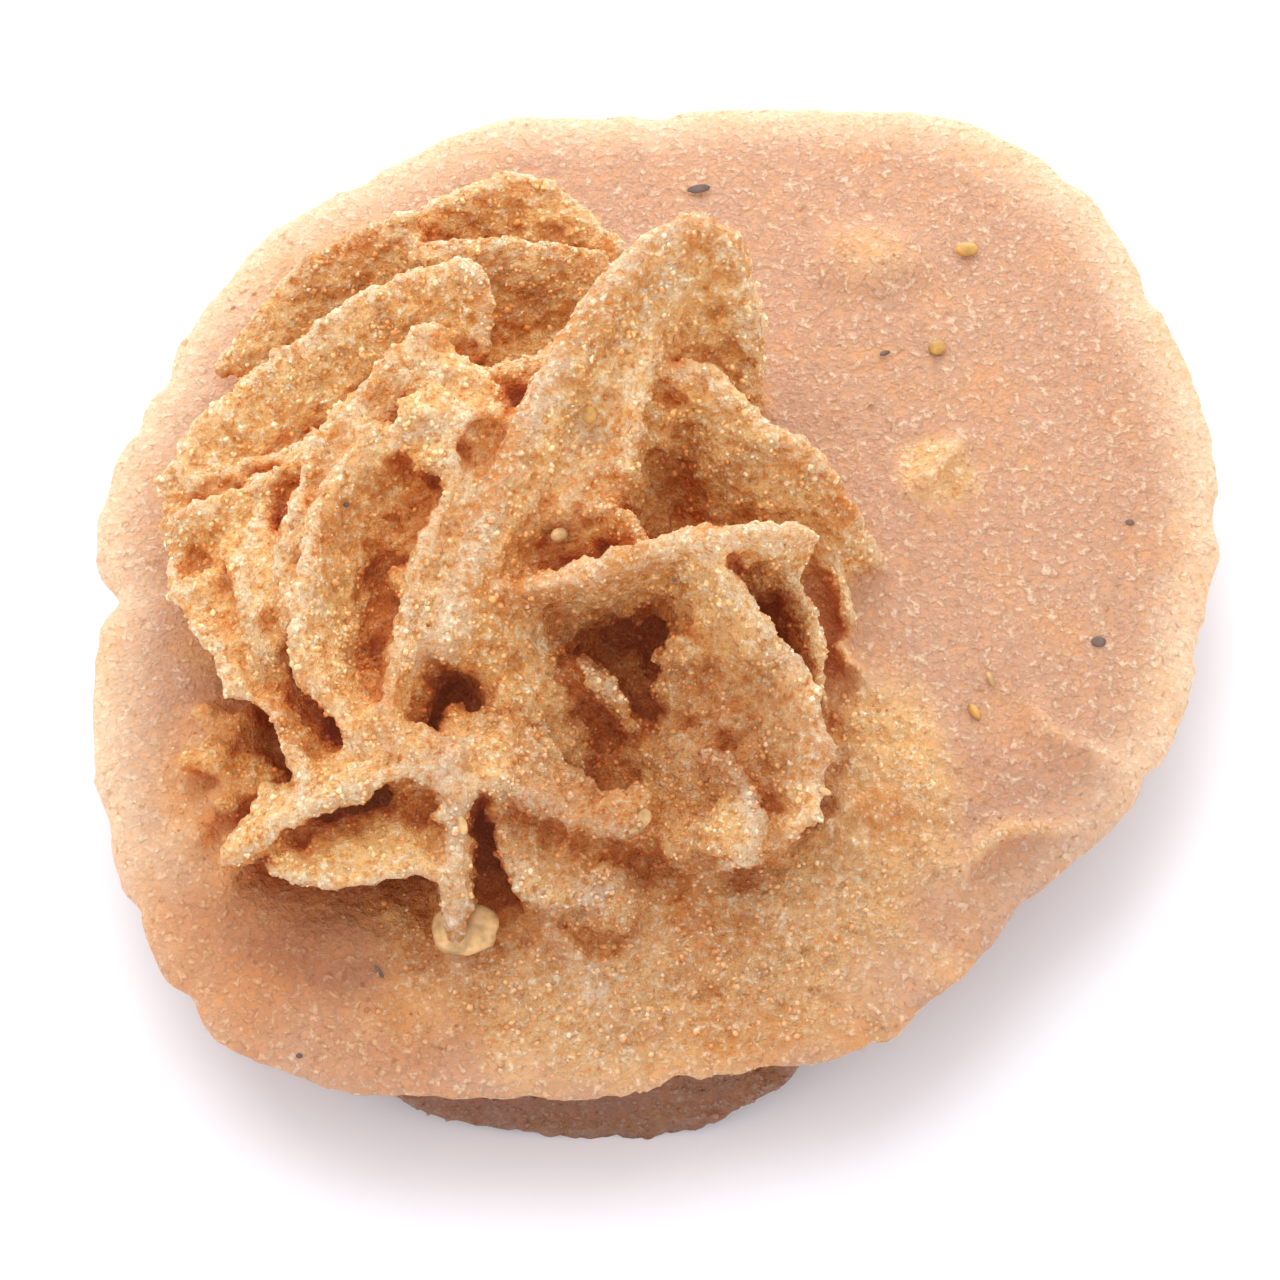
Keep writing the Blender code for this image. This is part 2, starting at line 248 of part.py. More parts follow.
# Lumps grown on the blades and the disc: centre, radii along X, Y and Z.
LUMPS = [
    ((-6.4, 1.6, 5.2), (8.3, 7.8, 3.4)),
    ((-5.0, 8.0, 5.0), (6.5, 5.5, 3.4)),
    ((-12.0, 2.0, 5.2), (5.0, 6.5, 3.0)),
    ((2.2, 1.2, 6.0), (4.6, 3.4, 2.4)),
    ((-9.2, -1.9, 8.0), (1.6, 3.8, 2.2)),
    ((-7.4, 3.9, 11.8), (1.9, 1.4, 1.4)),
    ((-6.0, 3.6, 12.0), (1.0, 0.9, 1.2)),
    ((-7.8, -8.9, 9.3), (2.2, 0.9, 1.2)),
    ((-4.8, -5.0, 7.0), (2.0, 2.6, 2.6)),
    ((-4.2, -7.2, 6.6), (2.2, 2.0, 2.0)),
    ((2.0, -7.6, 6.4), (3.0, 3.0, 2.2)),
    ((-8.7, 2.8, 13.9), (0.5, 0.5, 0.45)),
    ((-7.8, 3.3, 13.7), (0.35, 0.3, 0.35)),
    ((-7.1, 3.2, 13.6), (0.35, 0.3, 0.35)),
    ((-7.6, 4.8, 12.8), (1.1, 0.7, 0.8)),
    ((-6.3, 4.4, 12.6), (0.9, 0.7, 0.8)),
    ((-9.0, 4.4, 12.6), (0.8, 0.7, 0.8)),
    ((-8.9, -2.3, 11.2), (0.8, 0.35, 0.5)),
    ((-7.8, 1.3, 12.9), (0.9, 0.5, 0.4)),
    ((-1.9, -11.9, 7.6), (0.4, 0.4, 0.45)),
    ((-1.4, -10.6, 9.0), (1.0, 0.8, 0.7)),
    ((2.6, -10.8, 8.0), (1.3, 1.2, 1.0)),
    ((1.0, -10.6, 7.2), (1.5, 1.2, 1.1)),
    ((1.0, -4.4, 9.4), (1.0, 0.7, 0.8)),
    ((0.9, -5.6, 8.6), (1.0, 0.7, 0.7)),
    ((3.0, -7.0, 8.6), (1.1, 0.8, 0.7)),
    ((4.2, -7.6, 9.2), (0.5, 0.6, 0.6)),
    ((2.4, -8.6, 7.9), (1.2, 1.0, 0.8)),
    ((-6.4, -13.9, 6.3), (1.0, 1.0, 0.7)),
    ((-1.6, -13.0, 6.8), (0.8, 0.9, 0.7)),
    ((-2.4, -12.0, 7.6), (0.5, 0.5, 0.5)),
    ((-15.7, -7.0, 6.5), (0.9, 0.6, 0.6)),
    ((-14.4, -7.5, 6.7), (1.0, 0.6, 0.7)),
    ((-15.0, -8.6, 6.3), (0.9, 0.5, 0.5)),
    ((-13.6, -8.3, 6.8), (0.8, 0.7, 0.8)),
    ((-16.0, -5.3, 6.5), (0.7, 0.5, 0.5)),
    ((-14.6, -5.9, 6.6), (0.85, 0.6, 0.65)),
    ((-16.3, -9.8, 6.0), (0.5, 0.5, 0.5)),
    ((-8.3, 1.4, 10.9), (1.3, 1.2, 1.2)),
    ((-6.6, 2.6, 11.6), (1.6, 1.0, 1.2)),
    ((-0.1, 4.0, 9.6), (0.9, 1.1, 2.4)),
    ((-8.9, -0.6, 9.8), (1.0, 1.2, 1.3)),
    ((-5.9, -6.8, 8.8), (0.9, 1.3, 1.3)),
    ((-5.5, -9.9, 8.7), (0.5, 0.8, 0.8)),
    ((-5.0, -7.6, 8.0), (1.6, 1.2, 1.2)),
    ((-1.6, -3.2, 6.2), (2.2, 2.0, 0.9)),
    ((-2.7, -0.4, 10.1), (1.7, 1.2, 1.3)),
    ((-13.4, -2.1, 9.9), (0.8, 2.2, 1.2)),
    ((-13.3, -4.2, 9.4), (0.8, 1.4, 1.0)),
    ((-2.9, -12.4, 6.8), (1.6, 1.0, 1.0)),
    ((-1.2, -10.5, 8.9), (0.75, 0.6, 0.45)),
    ((7.6, 13.4, 6.3), (2.4, 1.7, 0.6)),
    ((7.6, -6.6, 5.7), (6.2, 5.8, 0.95)),
    ((-14.9, -0.7, 9.6), (0.6, 0.6, 0.6)),
    ((-15.8, -1.8, 9.0), (0.9, 0.7, 0.6)),
]

# Low blades on the belly, round the underside: angle, crest radii, height at the crest.
BELLY_BLADES = [(20, 7.0, 15.5, 0.5), (68, 9.0, 16.5, 0.7), (112, 7.5, 15.0, 0.5),
                (158, 8.0, 15.5, 0.6), (206, 7.0, 16.0, 0.5), (252, 8.5, 14.5, 0.7),
                (308, 7.0, 13.5, 0.5)]
BELLY_RIM = (0.9, 0.7)
BELLY_ROOT = (2.0, 1.6)
BELLY_SKEW = 0.8
BELLY_RISE = 1.6
BELLY_REACH = 3.0

# A blade's cross-section: half widths at small drops under the crest, in rim thicknesses, then
# the shares of the way to the foot where it widens to its root; and how fast its ends taper.
RIM_PROFILE = [(0.02, 0.22), (0.16, 0.40), (0.45, 0.50)]
SIDE_SHARES = [0.45, 0.8, 1.0]
FLARE = 1.3
END_WIDTH = 0.45
END_TAPER = 4.0
PATH_STEPS = 4
TANGENT_STEP = 0.02

# Surface: voxel size of the joined growth, height and length of its lumps, final triangles.
VOXEL = 0.30
LUMP_SPHERE_DETAIL = 3
ROUGH_HEIGHT = 0.18
ROUGH_LENGTH = 1.2
ROUGH_FINER = 2.1
ROUGH_FINER_SHARE = 0.6
DISC_SHARE = 0.35
ROSETTE_FLOOR = 7.2
TRIANGLES = 9800
CUT_TOLERANCE = 1e-5

STONE_COLOR = (0.68, 0.40, 0.22, 1.0)
STONE_ROUGHNESS = 0.75


def smooth_step(p0, p1, p2, p3, f):
    """Catmull-Rom value between p1 and p2, at f from 0 to 1."""
    return 0.5 * (2 * p1 + (p2 - p0) * f + (2 * p0 - 5 * p1 + 4 * p2 - p3) * f ** 2
                  + (3 * p1 - 3 * p2 + p3 - p0) * f ** 3)


def along(points, t):
    """The point at t, from 0 to 1, of a smooth curve through a list of points."""
    last = len(points) - 1
    place = min(max(t, 0.0), 1.0) * last
    i = min(int(place), last - 1)
    near = [Vector(points[min(max(i + k, 0), last)]) for k in (-1, 0, 1, 2)]
    return smooth_step(*near, place - i)


def mix(pair, t):
    return pair[0] + (pair[1] - pair[0]) * t


def loft(bm, rings):
    """Closed solid through rings of the same number of points, capped at both ends."""
    loops = [[bm.verts.new(p) for p in ring] for ring in rings]
    count = len(loops[0])
    for near, far in zip(loops, loops[1:]):
        for k in range(count):
            m = (k + 1) % count
            bm.faces.new((near[k], near[m], far[m], far[k]))
    bm.faces.new(tuple(reversed(loops[0])))
    bm.faces.new(tuple(loops[-1]))


def blade_rings(blade):
    """Cross-sections of one blade: a rounded rim on a plate that thickens to its root."""
    crest, foot = blade["crest"], blade["foot"]
    flare = blade.get("flare", FLARE)
    steps = PATH_STEPS * (len(crest) - 1)
    rings = []
    for i in range(steps + 1):
        t = i / steps
        top = along(crest, t)
        base = along(foot, t)
        ahead = min(t + TANGENT_STEP, 1.0)
        behind = max(t - TANGENT_STEP, 0.0)
        forward = along(crest, ahead) - along(crest, behind)
        reach = (top - base).length
        up = (top - base) / reach
        side = forward.cross(up).normalized()
        fade = min(1.0, END_WIDTH + END_TAPER * min(t, 1.0 - t))
        rim = mix(blade["rim"], t) * fade
        root = mix(blade["root"], t) * fade
        ring = []
        for sign in (1, -1):
            half = []
            for drop, width in RIM_PROFILE:
                half.append(top - up * (drop * rim) + side * (sign * width * rim))
            for share in SIDE_SHARES:
                width = 0.5 * (rim + (root - rim) * share ** flare)
                half.append(top - up * (share * reach) + side * (sign * width))
            ring += half if sign == 1 else reversed(half)
        rings.append(ring)
    return rings


def rim_radius(angle):
    """Rim radius at an angle in radians, with its nicks and scallops."""
    place = (angle % (2 * math.pi)) / (2 * math.pi / len(RIM_RADII))
    i = int(place)
    near = [RIM_RADII[(i + k) % len(RIM_RADII)] for k in (-1, 0, 1, 2)]
    radius = smooth_step(*near, place - i)
    for centre, depth, width in NICKS:
        off = (math.degrees(angle) - centre + 180) % 360 - 180
        radius -= depth * math.exp(-(off / width) ** 2)
    around = Vector((math.cos(angle), math.sin(angle), 0)) * SCALLOPS_ROUND
    waves = noise.noise(around) + FINER_SHARE * noise.noise(around * FINER)
    return radius + SCALLOP * waves


def disc_rings():
    """Cross-sections of the lens, stacked from the top centre to the belly."""
    half = RIM_BLUNTNESS * RIM_THICKNESS / 2
    levels = [(u, RIM_HEIGHT + half + DOME_RISE * (1 - u ** 2) ** DOME_CURVE)
              for u in RING_SHARES]
    levels += [(1.0, RIM_HEIGHT)]
    levels += [(u, RIM_HEIGHT - half - BELLY_DEPTH * (1 - u ** 2) ** BELLY_CURVE)
               for u in reversed(RING_SHARES)]
    turns = [2 * math.pi * k / SPOKES for k in range(SPOKES)]
    rings = []
    for share, height in levels:
        ring = []
        for angle in turns:
            r = rim_radius(angle) * share
            ring.append(Vector((r * math.cos(angle), r * math.sin(angle), height)))
        rings.append(ring)
    return rings


def belly_blades():
    """Low lens-shaped blades across the underside, pointing out from the base."""
    found = []
    for degrees, inner, outer, height in BELLY_BLADES:
        angle = math.radians(degrees)
        out = Vector((math.cos(angle), math.sin(angle), 0))
        skew = Vector((-out.y, out.x, 0)) * BELLY_SKEW
        crest = [out * inner, out * (inner + outer) / 2 + skew, out * outer]
        for point, rise in zip(crest, (0, 0, BELLY_RISE)):
            point.z = height + rise
        foot = [p + Vector((0, 0, BELLY_REACH)) for p in crest]
        found.append(dict(rim=BELLY_RIM, root=BELLY_ROOT, crest=crest, foot=foot))
    return found


def build_growth():
    """Disc, blades and lumps as one mesh of overlapping closed solids, in millimetres."""
    bm = bmesh.new()
    loft(bm, disc_rings())
    for blade in BLADES + belly_blades():
        loft(bm, blade_rings(blade))
    for centre, radii in LUMPS:
        made = bmesh.ops.create_icosphere(bm, subdivisions=LUMP_SPHERE_DETAIL, radius=1.0)
        for vert in made["verts"]:
            vert.co = Vector(centre) + Vector([c * r for c, r in zip(vert.co, radii)])
    bmesh.ops.recalc_face_normals(bm, faces=bm.faces)
    mesh = bpy.data.meshes.new("growth")
    bm.to_mesh(mesh)
    bm.free()
    return mesh


def evaluated(obj):
    """The object's mesh with its modifiers applied, and the modifiers gone."""
    graph = bpy.context.evaluated_depsgraph_get()
    mesh = bpy.data.meshes.new_from_object(obj.evaluated_get(graph))
    obj.modifiers.clear()
    return mesh


def roughen(mesh):
    """Push the surface in and out in soft lumps and pits, deeper on the rosette than the disc."""
    normals = [vert.normal.copy() for vert in mesh.vertices]
    for vert, normal in zip(mesh.vertices, normals):
        at = vert.co / ROUGH_LENGTH
        push = noise.noise(at) + ROUGH_FINER_SHARE * noise.noise(at * ROUGH_FINER)
        height = ROUGH_HEIGHT if vert.co.z > ROSETTE_FLOOR else ROUGH_HEIGHT * DISC_SHARE
        vert.co += normal * push * height


def cut_base(mesh):
    """Cut off what reaches below height 0 and close the cut with a flat face."""
    bm = bmesh.new()
    bm.from_mesh(mesh)
    cut = bmesh.ops.bisect_plane(bm, geom=bm.verts[:] + bm.edges[:] + bm.faces[:],
                                 dist=CUT_TOLERANCE, plane_co=(0, 0, 0), plane_no=(0, 0, 1),
                                 clear_inner=True)
    edges = [e for e in cut["geom_cut"] if isinstance(e, bmesh.types.BMEdge)]
    bmesh.ops.holes_fill(bm, edges=edges, sides=0)
    bmesh.ops.triangulate(bm, faces=bm.faces[:])
    bmesh.ops.recalc_face_normals(bm, faces=bm.faces)
    bm.to_mesh(mesh)
    bm.free()


def centre_on_base(mesh):
    """Scale to metres with the origin at the bottom centre of the bounding box."""
    sides = [[vert.co[axis] for vert in mesh.vertices] for axis in range(3)]
    middle = Vector([(min(side) + max(side)) / 2 for side in sides])
    middle.z = min(sides[2])
    for vert in mesh.vertices:
        vert.co = (vert.co - middle) * MM


def gypsum_material():
    material = bpy.data.materials.new("sandy_gypsum")
    material.use_nodes = True
    shader = material.node_tree.nodes["Principled BSDF"]
    shader.inputs["Base Color"].default_value = STONE_COLOR
    shader.inputs["Roughness"].default_value = STONE_ROUGHNESS
    shader.inputs["Metallic"].default_value = 0.0
    material.diffuse_color = STONE_COLOR
    return material


def main():
    for obj in list(bpy.data.objects):
        bpy.data.objects.remove(obj, do_unlink=True)

    rose = bpy.data.objects.new("sand_rose", build_growth())
    bpy.context.scene.collection.objects.link(rose)

    join = rose.modifiers.new("join", "REMESH")
    join.mode = "VOXEL"
    join.voxel_size = VOXEL
    rose.data = evaluated(rose)
    roughen(rose.data)

    facets = rose.modifiers.new("facets", "DECIMATE")
    facets.ratio = TRIANGLES / (2 * len(rose.data.polygons))
    rose.data = evaluated(rose)

    cut_base(rose.data)
    centre_on_base(rose.data)
    rose.data.name = "sand_rose"
    rose.data.materials.append(gypsum_material())


main()
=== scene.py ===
import math
import random

import bmesh
import bpy
from mathutils import Matrix, Vector, kdtree, noise
from mathutils.bvhtree import BVHTree


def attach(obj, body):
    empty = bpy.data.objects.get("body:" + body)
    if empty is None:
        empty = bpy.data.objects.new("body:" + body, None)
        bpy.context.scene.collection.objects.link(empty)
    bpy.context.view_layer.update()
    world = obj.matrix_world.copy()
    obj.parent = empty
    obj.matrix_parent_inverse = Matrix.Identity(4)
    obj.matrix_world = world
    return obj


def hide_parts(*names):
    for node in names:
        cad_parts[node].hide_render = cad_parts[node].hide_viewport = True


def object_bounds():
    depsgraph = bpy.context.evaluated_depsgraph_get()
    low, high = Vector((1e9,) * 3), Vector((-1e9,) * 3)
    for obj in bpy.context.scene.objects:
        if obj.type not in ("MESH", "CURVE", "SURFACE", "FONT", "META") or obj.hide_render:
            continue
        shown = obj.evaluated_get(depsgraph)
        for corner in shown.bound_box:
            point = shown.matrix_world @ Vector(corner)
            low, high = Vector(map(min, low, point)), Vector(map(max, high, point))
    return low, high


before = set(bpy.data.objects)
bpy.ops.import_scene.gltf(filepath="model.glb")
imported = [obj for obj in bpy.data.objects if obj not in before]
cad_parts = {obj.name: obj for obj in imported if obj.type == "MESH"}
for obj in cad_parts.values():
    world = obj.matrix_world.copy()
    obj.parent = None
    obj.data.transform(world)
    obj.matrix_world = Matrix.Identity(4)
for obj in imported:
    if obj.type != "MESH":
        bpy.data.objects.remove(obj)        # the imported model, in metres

cadLow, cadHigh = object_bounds()
mm = 0.001               # the tables below are in millimetres, on the disc's own centre

# The big lens-shaped disc. Rim radii run every 12 degrees, counter-clockwise from +X; a nick is
# its angle in degrees, its depth and its half width in degrees; a belly blade is its angle, where
# it starts and ends from the centre, and its height.
disc = dict(
    rimHeight=5.0, rimThickness=0.5, rimShare=0.4, domeRise=1.7, domePower=0.62, bellyDepth=5.0,
    bellyPower=0.9, spokes=480, rings=[0.04, 0.2, 0.4, 0.6, 0.75, 0.88, 0.96, 0.99],
    rimRadii=[19.7, 20.8, 21.6, 22.4, 23.5, 23.4, 21.9, 21.0, 20.7, 21.3,
              21.0, 21.0, 20.7, 20.4, 20.6, 20.2, 20.6, 21.5, 22.4, 23.1,
              22.1, 20.5, 19.5, 18.7, 18.9, 18.6, 17.7, 17.9, 18.8, 19.3],
    scallop=0.17, ragged=6.0, octaves=[(1.0, 1.0), (0.6, 2.7), (0.7, 6.5), (0.6, 12.0)],
    nicks=[(180, 0.9, 1.8), (205, 0.3, 2), (214, 0.3, 1.5), (224, 0.5, 1.8), (272, 0.45, 1.2),
           (281, 0.25, 0.8), (300, 0.25, 2), (316, 0.3, 2), (338, 0.4, 1.8), (10, 0.25, 2),
           (35, 0.4, 1.6), (50, 0.25, 2), (90, 0.3, 2), (122, 0.3, 2), (153, 0.4, 1.8),
           (160, 0.2, 1.2)],
    bellyBlades=[(20, 7, 15.5, 0.5), (68, 9, 16.5, 0.7), (112, 7.5, 15, 0.5), (158, 8, 15.5, 0.6),
                 (206, 7, 16, 0.5), (252, 8.5, 14.5, 0.7), (308, 7, 13.5, 0.5)],
    bellySkew=0.8, bellyTip=1.6, bellyFoot=3.0, bellyRim=(0.9, 0.7), bellyRoot=(2.0, 1.6))

# A blade's cross-section: drop and half width at the rim, in rim thicknesses, then shares of the
# way down to the foot. Steps and marks are for each stretch between two crest points.
section = dict(rim=((0.02, 0.22), (0.16, 0.40), (0.45, 0.50)), down=(0.45, 0.8, 1.0), flare=1.3,
               endShare=0.45, endRate=4.0, steps=6, probe=0.02, marks=14)

# The rosette's blades. Each runs along a crest and is rooted along a foot line; rim and root are
# its thickness at the two, and band is how pale and bare of sand the crest is.
blades = {
    "main": dict(rim=(1.45, 0.9), root=(4.2, 4.6), band=0.95, flare=0.9,
        crest=[(-7.8, -5.6, 11.3), (-7.3, -3.9, 12), (-6.3, -0.8, 12.8), (-4.8, 2.6, 13.8),
            (-3.3, 5.1, 14.8), (-2, 7, 15.4), (-0.6, 8.6, 15.8), (1.1, 9.5, 16)],
        foot=[(-5.6, -4.8, 7.5), (-4.9, -3.4, 7.5), (-3.8, -0.6, 7.5), (-2.4, 2.2, 7.5),
            (-1, 4.2, 7.5), (0, 5.4, 7), (1, 6.2, 7), (1.8, 6.6, 7)]),
    "mainFlank": dict(rim=(1.2, 1.4), root=(3.2, 3.4),
        crest=[(0.2, 8.2, 14.4), (-0.7, 6.6, 13.4), (-1.6, 4.2, 12.4), (-2.6, 1.6, 12.2),
            (-3.6, -0.4, 12.2)],
        foot=[(0.8, 6, 7.5), (0.3, 5, 7.5), (-0.4, 3.4, 7.5), (-1.4, 0.9, 7.5), (-2.6, -1, 7.5)]),
    "peak": dict(rim=(0.8, 0.7), root=(3, 2.2), band=0.45,
        crest=[(0.9, 9.6, 15.8), (2.2, 9.6, 15.2), (3.1, 9.2, 14.4), (3.3, 8.6, 12.8),
            (3.4, 7.2, 11.6)],
        foot=[(0.2, 6.4, 7.5), (1.2, 6.2, 7.2), (2.2, 6.2, 7), (2.8, 6.2, 6.5), (3, 6, 6)]),
    "shoulder": dict(rim=(0.7, 0.6), root=(2.4, 1.6), band=0.45,
        crest=[(-0.2, 5.4, 12.4), (1.4, 5.3, 13), (2.5, 4.5, 13), (3.8, 3.1, 12.5), (4.9, 2.8, 12),
            (6, 2.1, 11), (7.2, 1.2, 9.3), (8.2, 0.5, 7.3)],
        foot=[(-0.4, 3.4, 8), (0.9, 2.8, 7.6), (2, 1.6, 7.4), (3.2, 0.8, 7.2), (4.4, 0.6, 6.8),
            (5.4, 0.3, 6.4), (6.4, 0.1, 6.2), (7.4, -0.1, 6)]),
    "flankEdge": dict(rim=(0.7, 0.8), root=(1.6, 1.4), band=0.05,
        crest=[(-0.1, 7.2, 13.9), (-0.5, 5.6, 13.5), (-0.9, 3.9, 13.1), (-1.1, 2, 12.8),
            (-1.3, 0.6, 12.4)],
        foot=[(-0.2, 5.6, 9), (-0.6, 4.4, 8.6), (-1, 3, 8.2), (-1.3, 1.4, 8), (-1.6, 0.2, 8)]),
    "spur": dict(rim=(0.5, 0.5), root=(1.6, 1.2),
        crest=[(-2.6, 0.5, 12.2), (-1.5, -0.4, 12.8), (-0.5, -1.4, 13.2)],
        foot=[(-2.8, 0, 8), (-1.8, -0.8, 8), (-0.9, -1.8, 8)]),
    "bar": dict(rim=(0.85, 0.85), root=(1.4, 1.4), band=0.6,
        crest=[(-5.2, -3.2, 12), (-3.4, -3.1, 12.6), (-2, -2.9, 13), (-0.3, -2.4, 13.4),
            (1.4, -2.1, 13.8), (3.1, -2.1, 14), (4.5, -1.9, 13.8), (5.5, -1.6, 13)],
        foot=[(-5, -2.4, 8), (-3.2, -2, 8), (-1.8, -1.8, 8), (-0.2, -1.4, 8), (1.4, -1.2, 7.5),
            (2.6, -1.2, 7), (3.6, -1.2, 7), (4.4, -1.2, 7)]),
    "shell": dict(rim=(0.5, 0.5), root=(1.8, 1.4), band=0.5,
        crest=[(1.7, -2.6, 13.6), (2.5, -3.4, 13.2), (3.3, -4.3, 12.6), (4.3, -5.2, 11.8),
            (5.3, -6.1, 11.1), (5.7, -7.7, 10.4), (5.8, -9.2, 9.8), (5.5, -10.5, 9.2),
            (4.8, -11.2, 8.6), (4, -11.6, 7.5)],
        foot=[(0.4, -2, 8.2), (0.8, -3, 8), (1.4, -4.2, 7.6), (2, -5.4, 7.4), (2.4, -6.6, 7.2),
            (2.7, -7.8, 7), (2.8, -9, 6.8), (2.8, -9.8, 6.4), (2.8, -10.4, 6.2), (2.8, -10.8, 6)]),
    "shellBack": dict(rim=(0.7, 0.6), root=(1.6, 1.2),
        crest=[(4.6, -1.7, 10.2), (5.3, -2.7, 9.8), (5.6, -4.3, 9.4), (5.8, -6.2, 8.8)],
        foot=[(3.8, -2, 6.2), (4.2, -3, 6.2), (4.4, -4.4, 6.2), (4.6, -6, 6.2)]),
    "shellInner": dict(rim=(0.5, 0.4), root=(1.4, 1.2),
        crest=[(1.6, -8.1, 9.4), (2.6, -8.9, 9.3), (3.3, -10, 9.1), (3.5, -11.2, 8.7),
            (3, -12.1, 8.1), (2.2, -12.1, 7.5)],
        foot=[(1.1, -7.6, 6.8), (1.4, -8.1, 6.8), (1.7, -8.8, 6.6), (1.8, -9.6, 6.4),
            (1.6, -10.2, 6.2), (1.2, -10.4, 6.2)]),
    "sill": dict(rim=(0.55, 0.5), root=(2.2, 2), flare=0.8,
        crest=[(-6.6, -9.6, 10.1), (-5.3, -10.2, 10), (-4, -10.8, 9.7), (-2.4, -11.2, 9.3),
            (-0.4, -11.2, 8.7)],
        foot=[(-6, -7.2, 9.2), (-4.8, -8, 8.8), (-3.6, -8.8, 8.4), (-2.2, -9.6, 7.6),
            (-0.4, -9.9, 6.8)]),
    "sillApron": dict(rim=(0.5, 0.45), root=(1.3, 2), flare=0.8,
        crest=[(-5.6, -10.6, 9), (-5.55, -11.8, 8.5), (-5.05, -12.8, 8.1), (-4.2, -13.3, 7.8),
            (-3.4, -13.2, 7.6), (-2.2, -12.8, 7.5), (-1, -12.2, 7.5)],
        foot=[(-5, -9.6, 8.2), (-4.5, -10, 8), (-3.9, -10.2, 7.8), (-3.2, -10.4, 7.4),
            (-2.6, -10.4, 7.2), (-2, -10.4, 6.8), (-1, -10.4, 6.6)]),
    "prow": dict(rim=(0.85, 0.85), root=(1.5, 1.3), band=0.7,
        crest=[(-7, -8.4, 10.6), (-7, -10.4, 10.2), (-7, -12.3, 9.4), (-7, -13.9, 8.4),
            (-6.9, -15, 6.8)],
        foot=[(-7, -8, 6), (-7, -9.6, 6), (-7, -11.2, 5.6), (-7, -12.6, 5.4), (-7, -13.8, 5.2)]),
    "leftUpper": dict(rim=(0.7, 0.55), root=(1.5, 1.2), band=0.5, flare=0.9,
        crest=[(-7.6, -9.5, 10.5), (-8.9, -9.8, 10.5), (-10.6, -10.5, 10.3), (-12.4, -11, 9.8),
            (-14.1, -11.8, 9), (-15.4, -12, 7.6)],
        foot=[(-7.9, -7.8, 9.6), (-9.3, -8, 9.6), (-10.9, -8.4, 9.2), (-12.4, -9, 8.2),
            (-13.8, -9.8, 7.2), (-14.8, -10.6, 6.2)]),
    "leftPlate": dict(rim=(0.5, 0.45), root=(0.9, 0.9), band=0.8,
        crest=[(-13.9, -12.2, 8.2), (-12.9, -12.7, 8.3), (-11.7, -13, 8.4), (-10.5, -13.1, 8.5),
            (-9.1, -12.8, 8.6), (-8.2, -12.7, 8.6), (-7.4, -13, 8.6)],
        foot=[(-13.1, -10.7, 7.6), (-12.1, -10.5, 7.8), (-11, -10.2, 8), (-10, -10, 8.1),
            (-9, -9.8, 8.2), (-8.1, -9.6, 8.2), (-7.4, -9.6, 8.2)]),
    "fan": dict(rim=(0.45, 0.5), root=(1.5, 1.4), band=0.6, flare=0.8,
        crest=[(-17.4, -0.6, 9.3), (-17.2, -1.8, 9.5), (-16.6, -3.2, 9.6), (-15.6, -4.6, 9.8),
            (-15.1, -6.1, 9.9), (-13.8, -6.8, 10), (-13.3, -7.9, 10), (-12.7, -9.3, 10),
            (-12.4, -10.3, 10.1)],
        foot=[(-16, 0.3, 7.4), (-15.2, -0.6, 7.5), (-13.8, -1.7, 7.8), (-13, -3.4, 8),
            (-12.4, -4.9, 8.2), (-11.7, -6, 8.2), (-11.1, -7.2, 8.3), (-10.6, -8.3, 8.5),
            (-10, -9.1, 8.9)]),
    "leftFin": dict(rim=(0.55, 0.5), root=(2, 2), flare=0.8,
        crest=[(-13.7, 1, 10.6), (-14, 0.2, 10.9), (-14.4, -1, 11), (-14.5, -2.2, 11.1),
            (-14.5, -3.4, 11.1), (-14.2, -4.4, 10.8), (-13.6, -5.3, 10)],
        foot=[(-12.9, 1.6, 8.4), (-13.2, 0.8, 8.4), (-13.4, -0.4, 8.2), (-13.5, -1.6, 8.2),
            (-13.5, -2.6, 8.2), (-13.4, -3.6, 8.2), (-13, -4.5, 8.2)]),
    "outerLeaf": dict(rim=(0.45, 0.4), root=(1, 0.9),
        crest=[(-12.5, 0.9, 12.1), (-12.7, 0.1, 12.1), (-13.1, -0.9, 12), (-13.3, -2.1, 11.9),
            (-13.1, -3.3, 11.5), (-13.1, -4.5, 11)],
        foot=[(-11.9, 1.1, 9.2), (-12, 0.3, 9.2), (-12.3, -0.9, 9.2), (-12.4, -2.1, 9.2),
            (-12.3, -3.3, 9.2), (-12.3, -4.3, 9.2)]),
    "bowl": dict(rim=(0.5, 0.5), root=(1.3, 1.2), band=0.4,
        crest=[(-8.8, 2.6, 13.6), (-10, 2.2, 13.5), (-10.7, 1.7, 13.4), (-11.5, 0.6, 13.2),
            (-12, -0.6, 13.1), (-12.3, -1.8, 12.9), (-12.5, -3, 12.5), (-12.7, -4.2, 12.1),
            (-12.8, -5.5, 11.7), (-12.3, -6.5, 11.4), (-11.5, -7.4, 11.2), (-10.8, -8.4, 10.9),
            (-10.3, -8.9, 10.6)],
        foot=[(-8.2, 1.2, 9.6), (-8.7, 0.8, 9.4), (-9, 0.2, 9.2), (-9.3, -0.6, 9),
            (-9.5, -1.4, 8.8), (-9.7, -2.4, 8.8), (-9.8, -3.4, 8.8), (-9.9, -4.4, 8.8),
            (-9.9, -5.3, 8.8), (-9.7, -6.1, 9), (-9.5, -7, 9.2), (-9.4, -7.6, 9.2),
            (-9.3, -8, 9.4)]),
    "bowlBack": dict(rim=(1.1, 1.5), root=(2, 2.2),
        crest=[(-12.6, -3.6, 10.9), (-12.6, -2.2, 11.6), (-12.3, -0.6, 12), (-11.6, 0.9, 12.4),
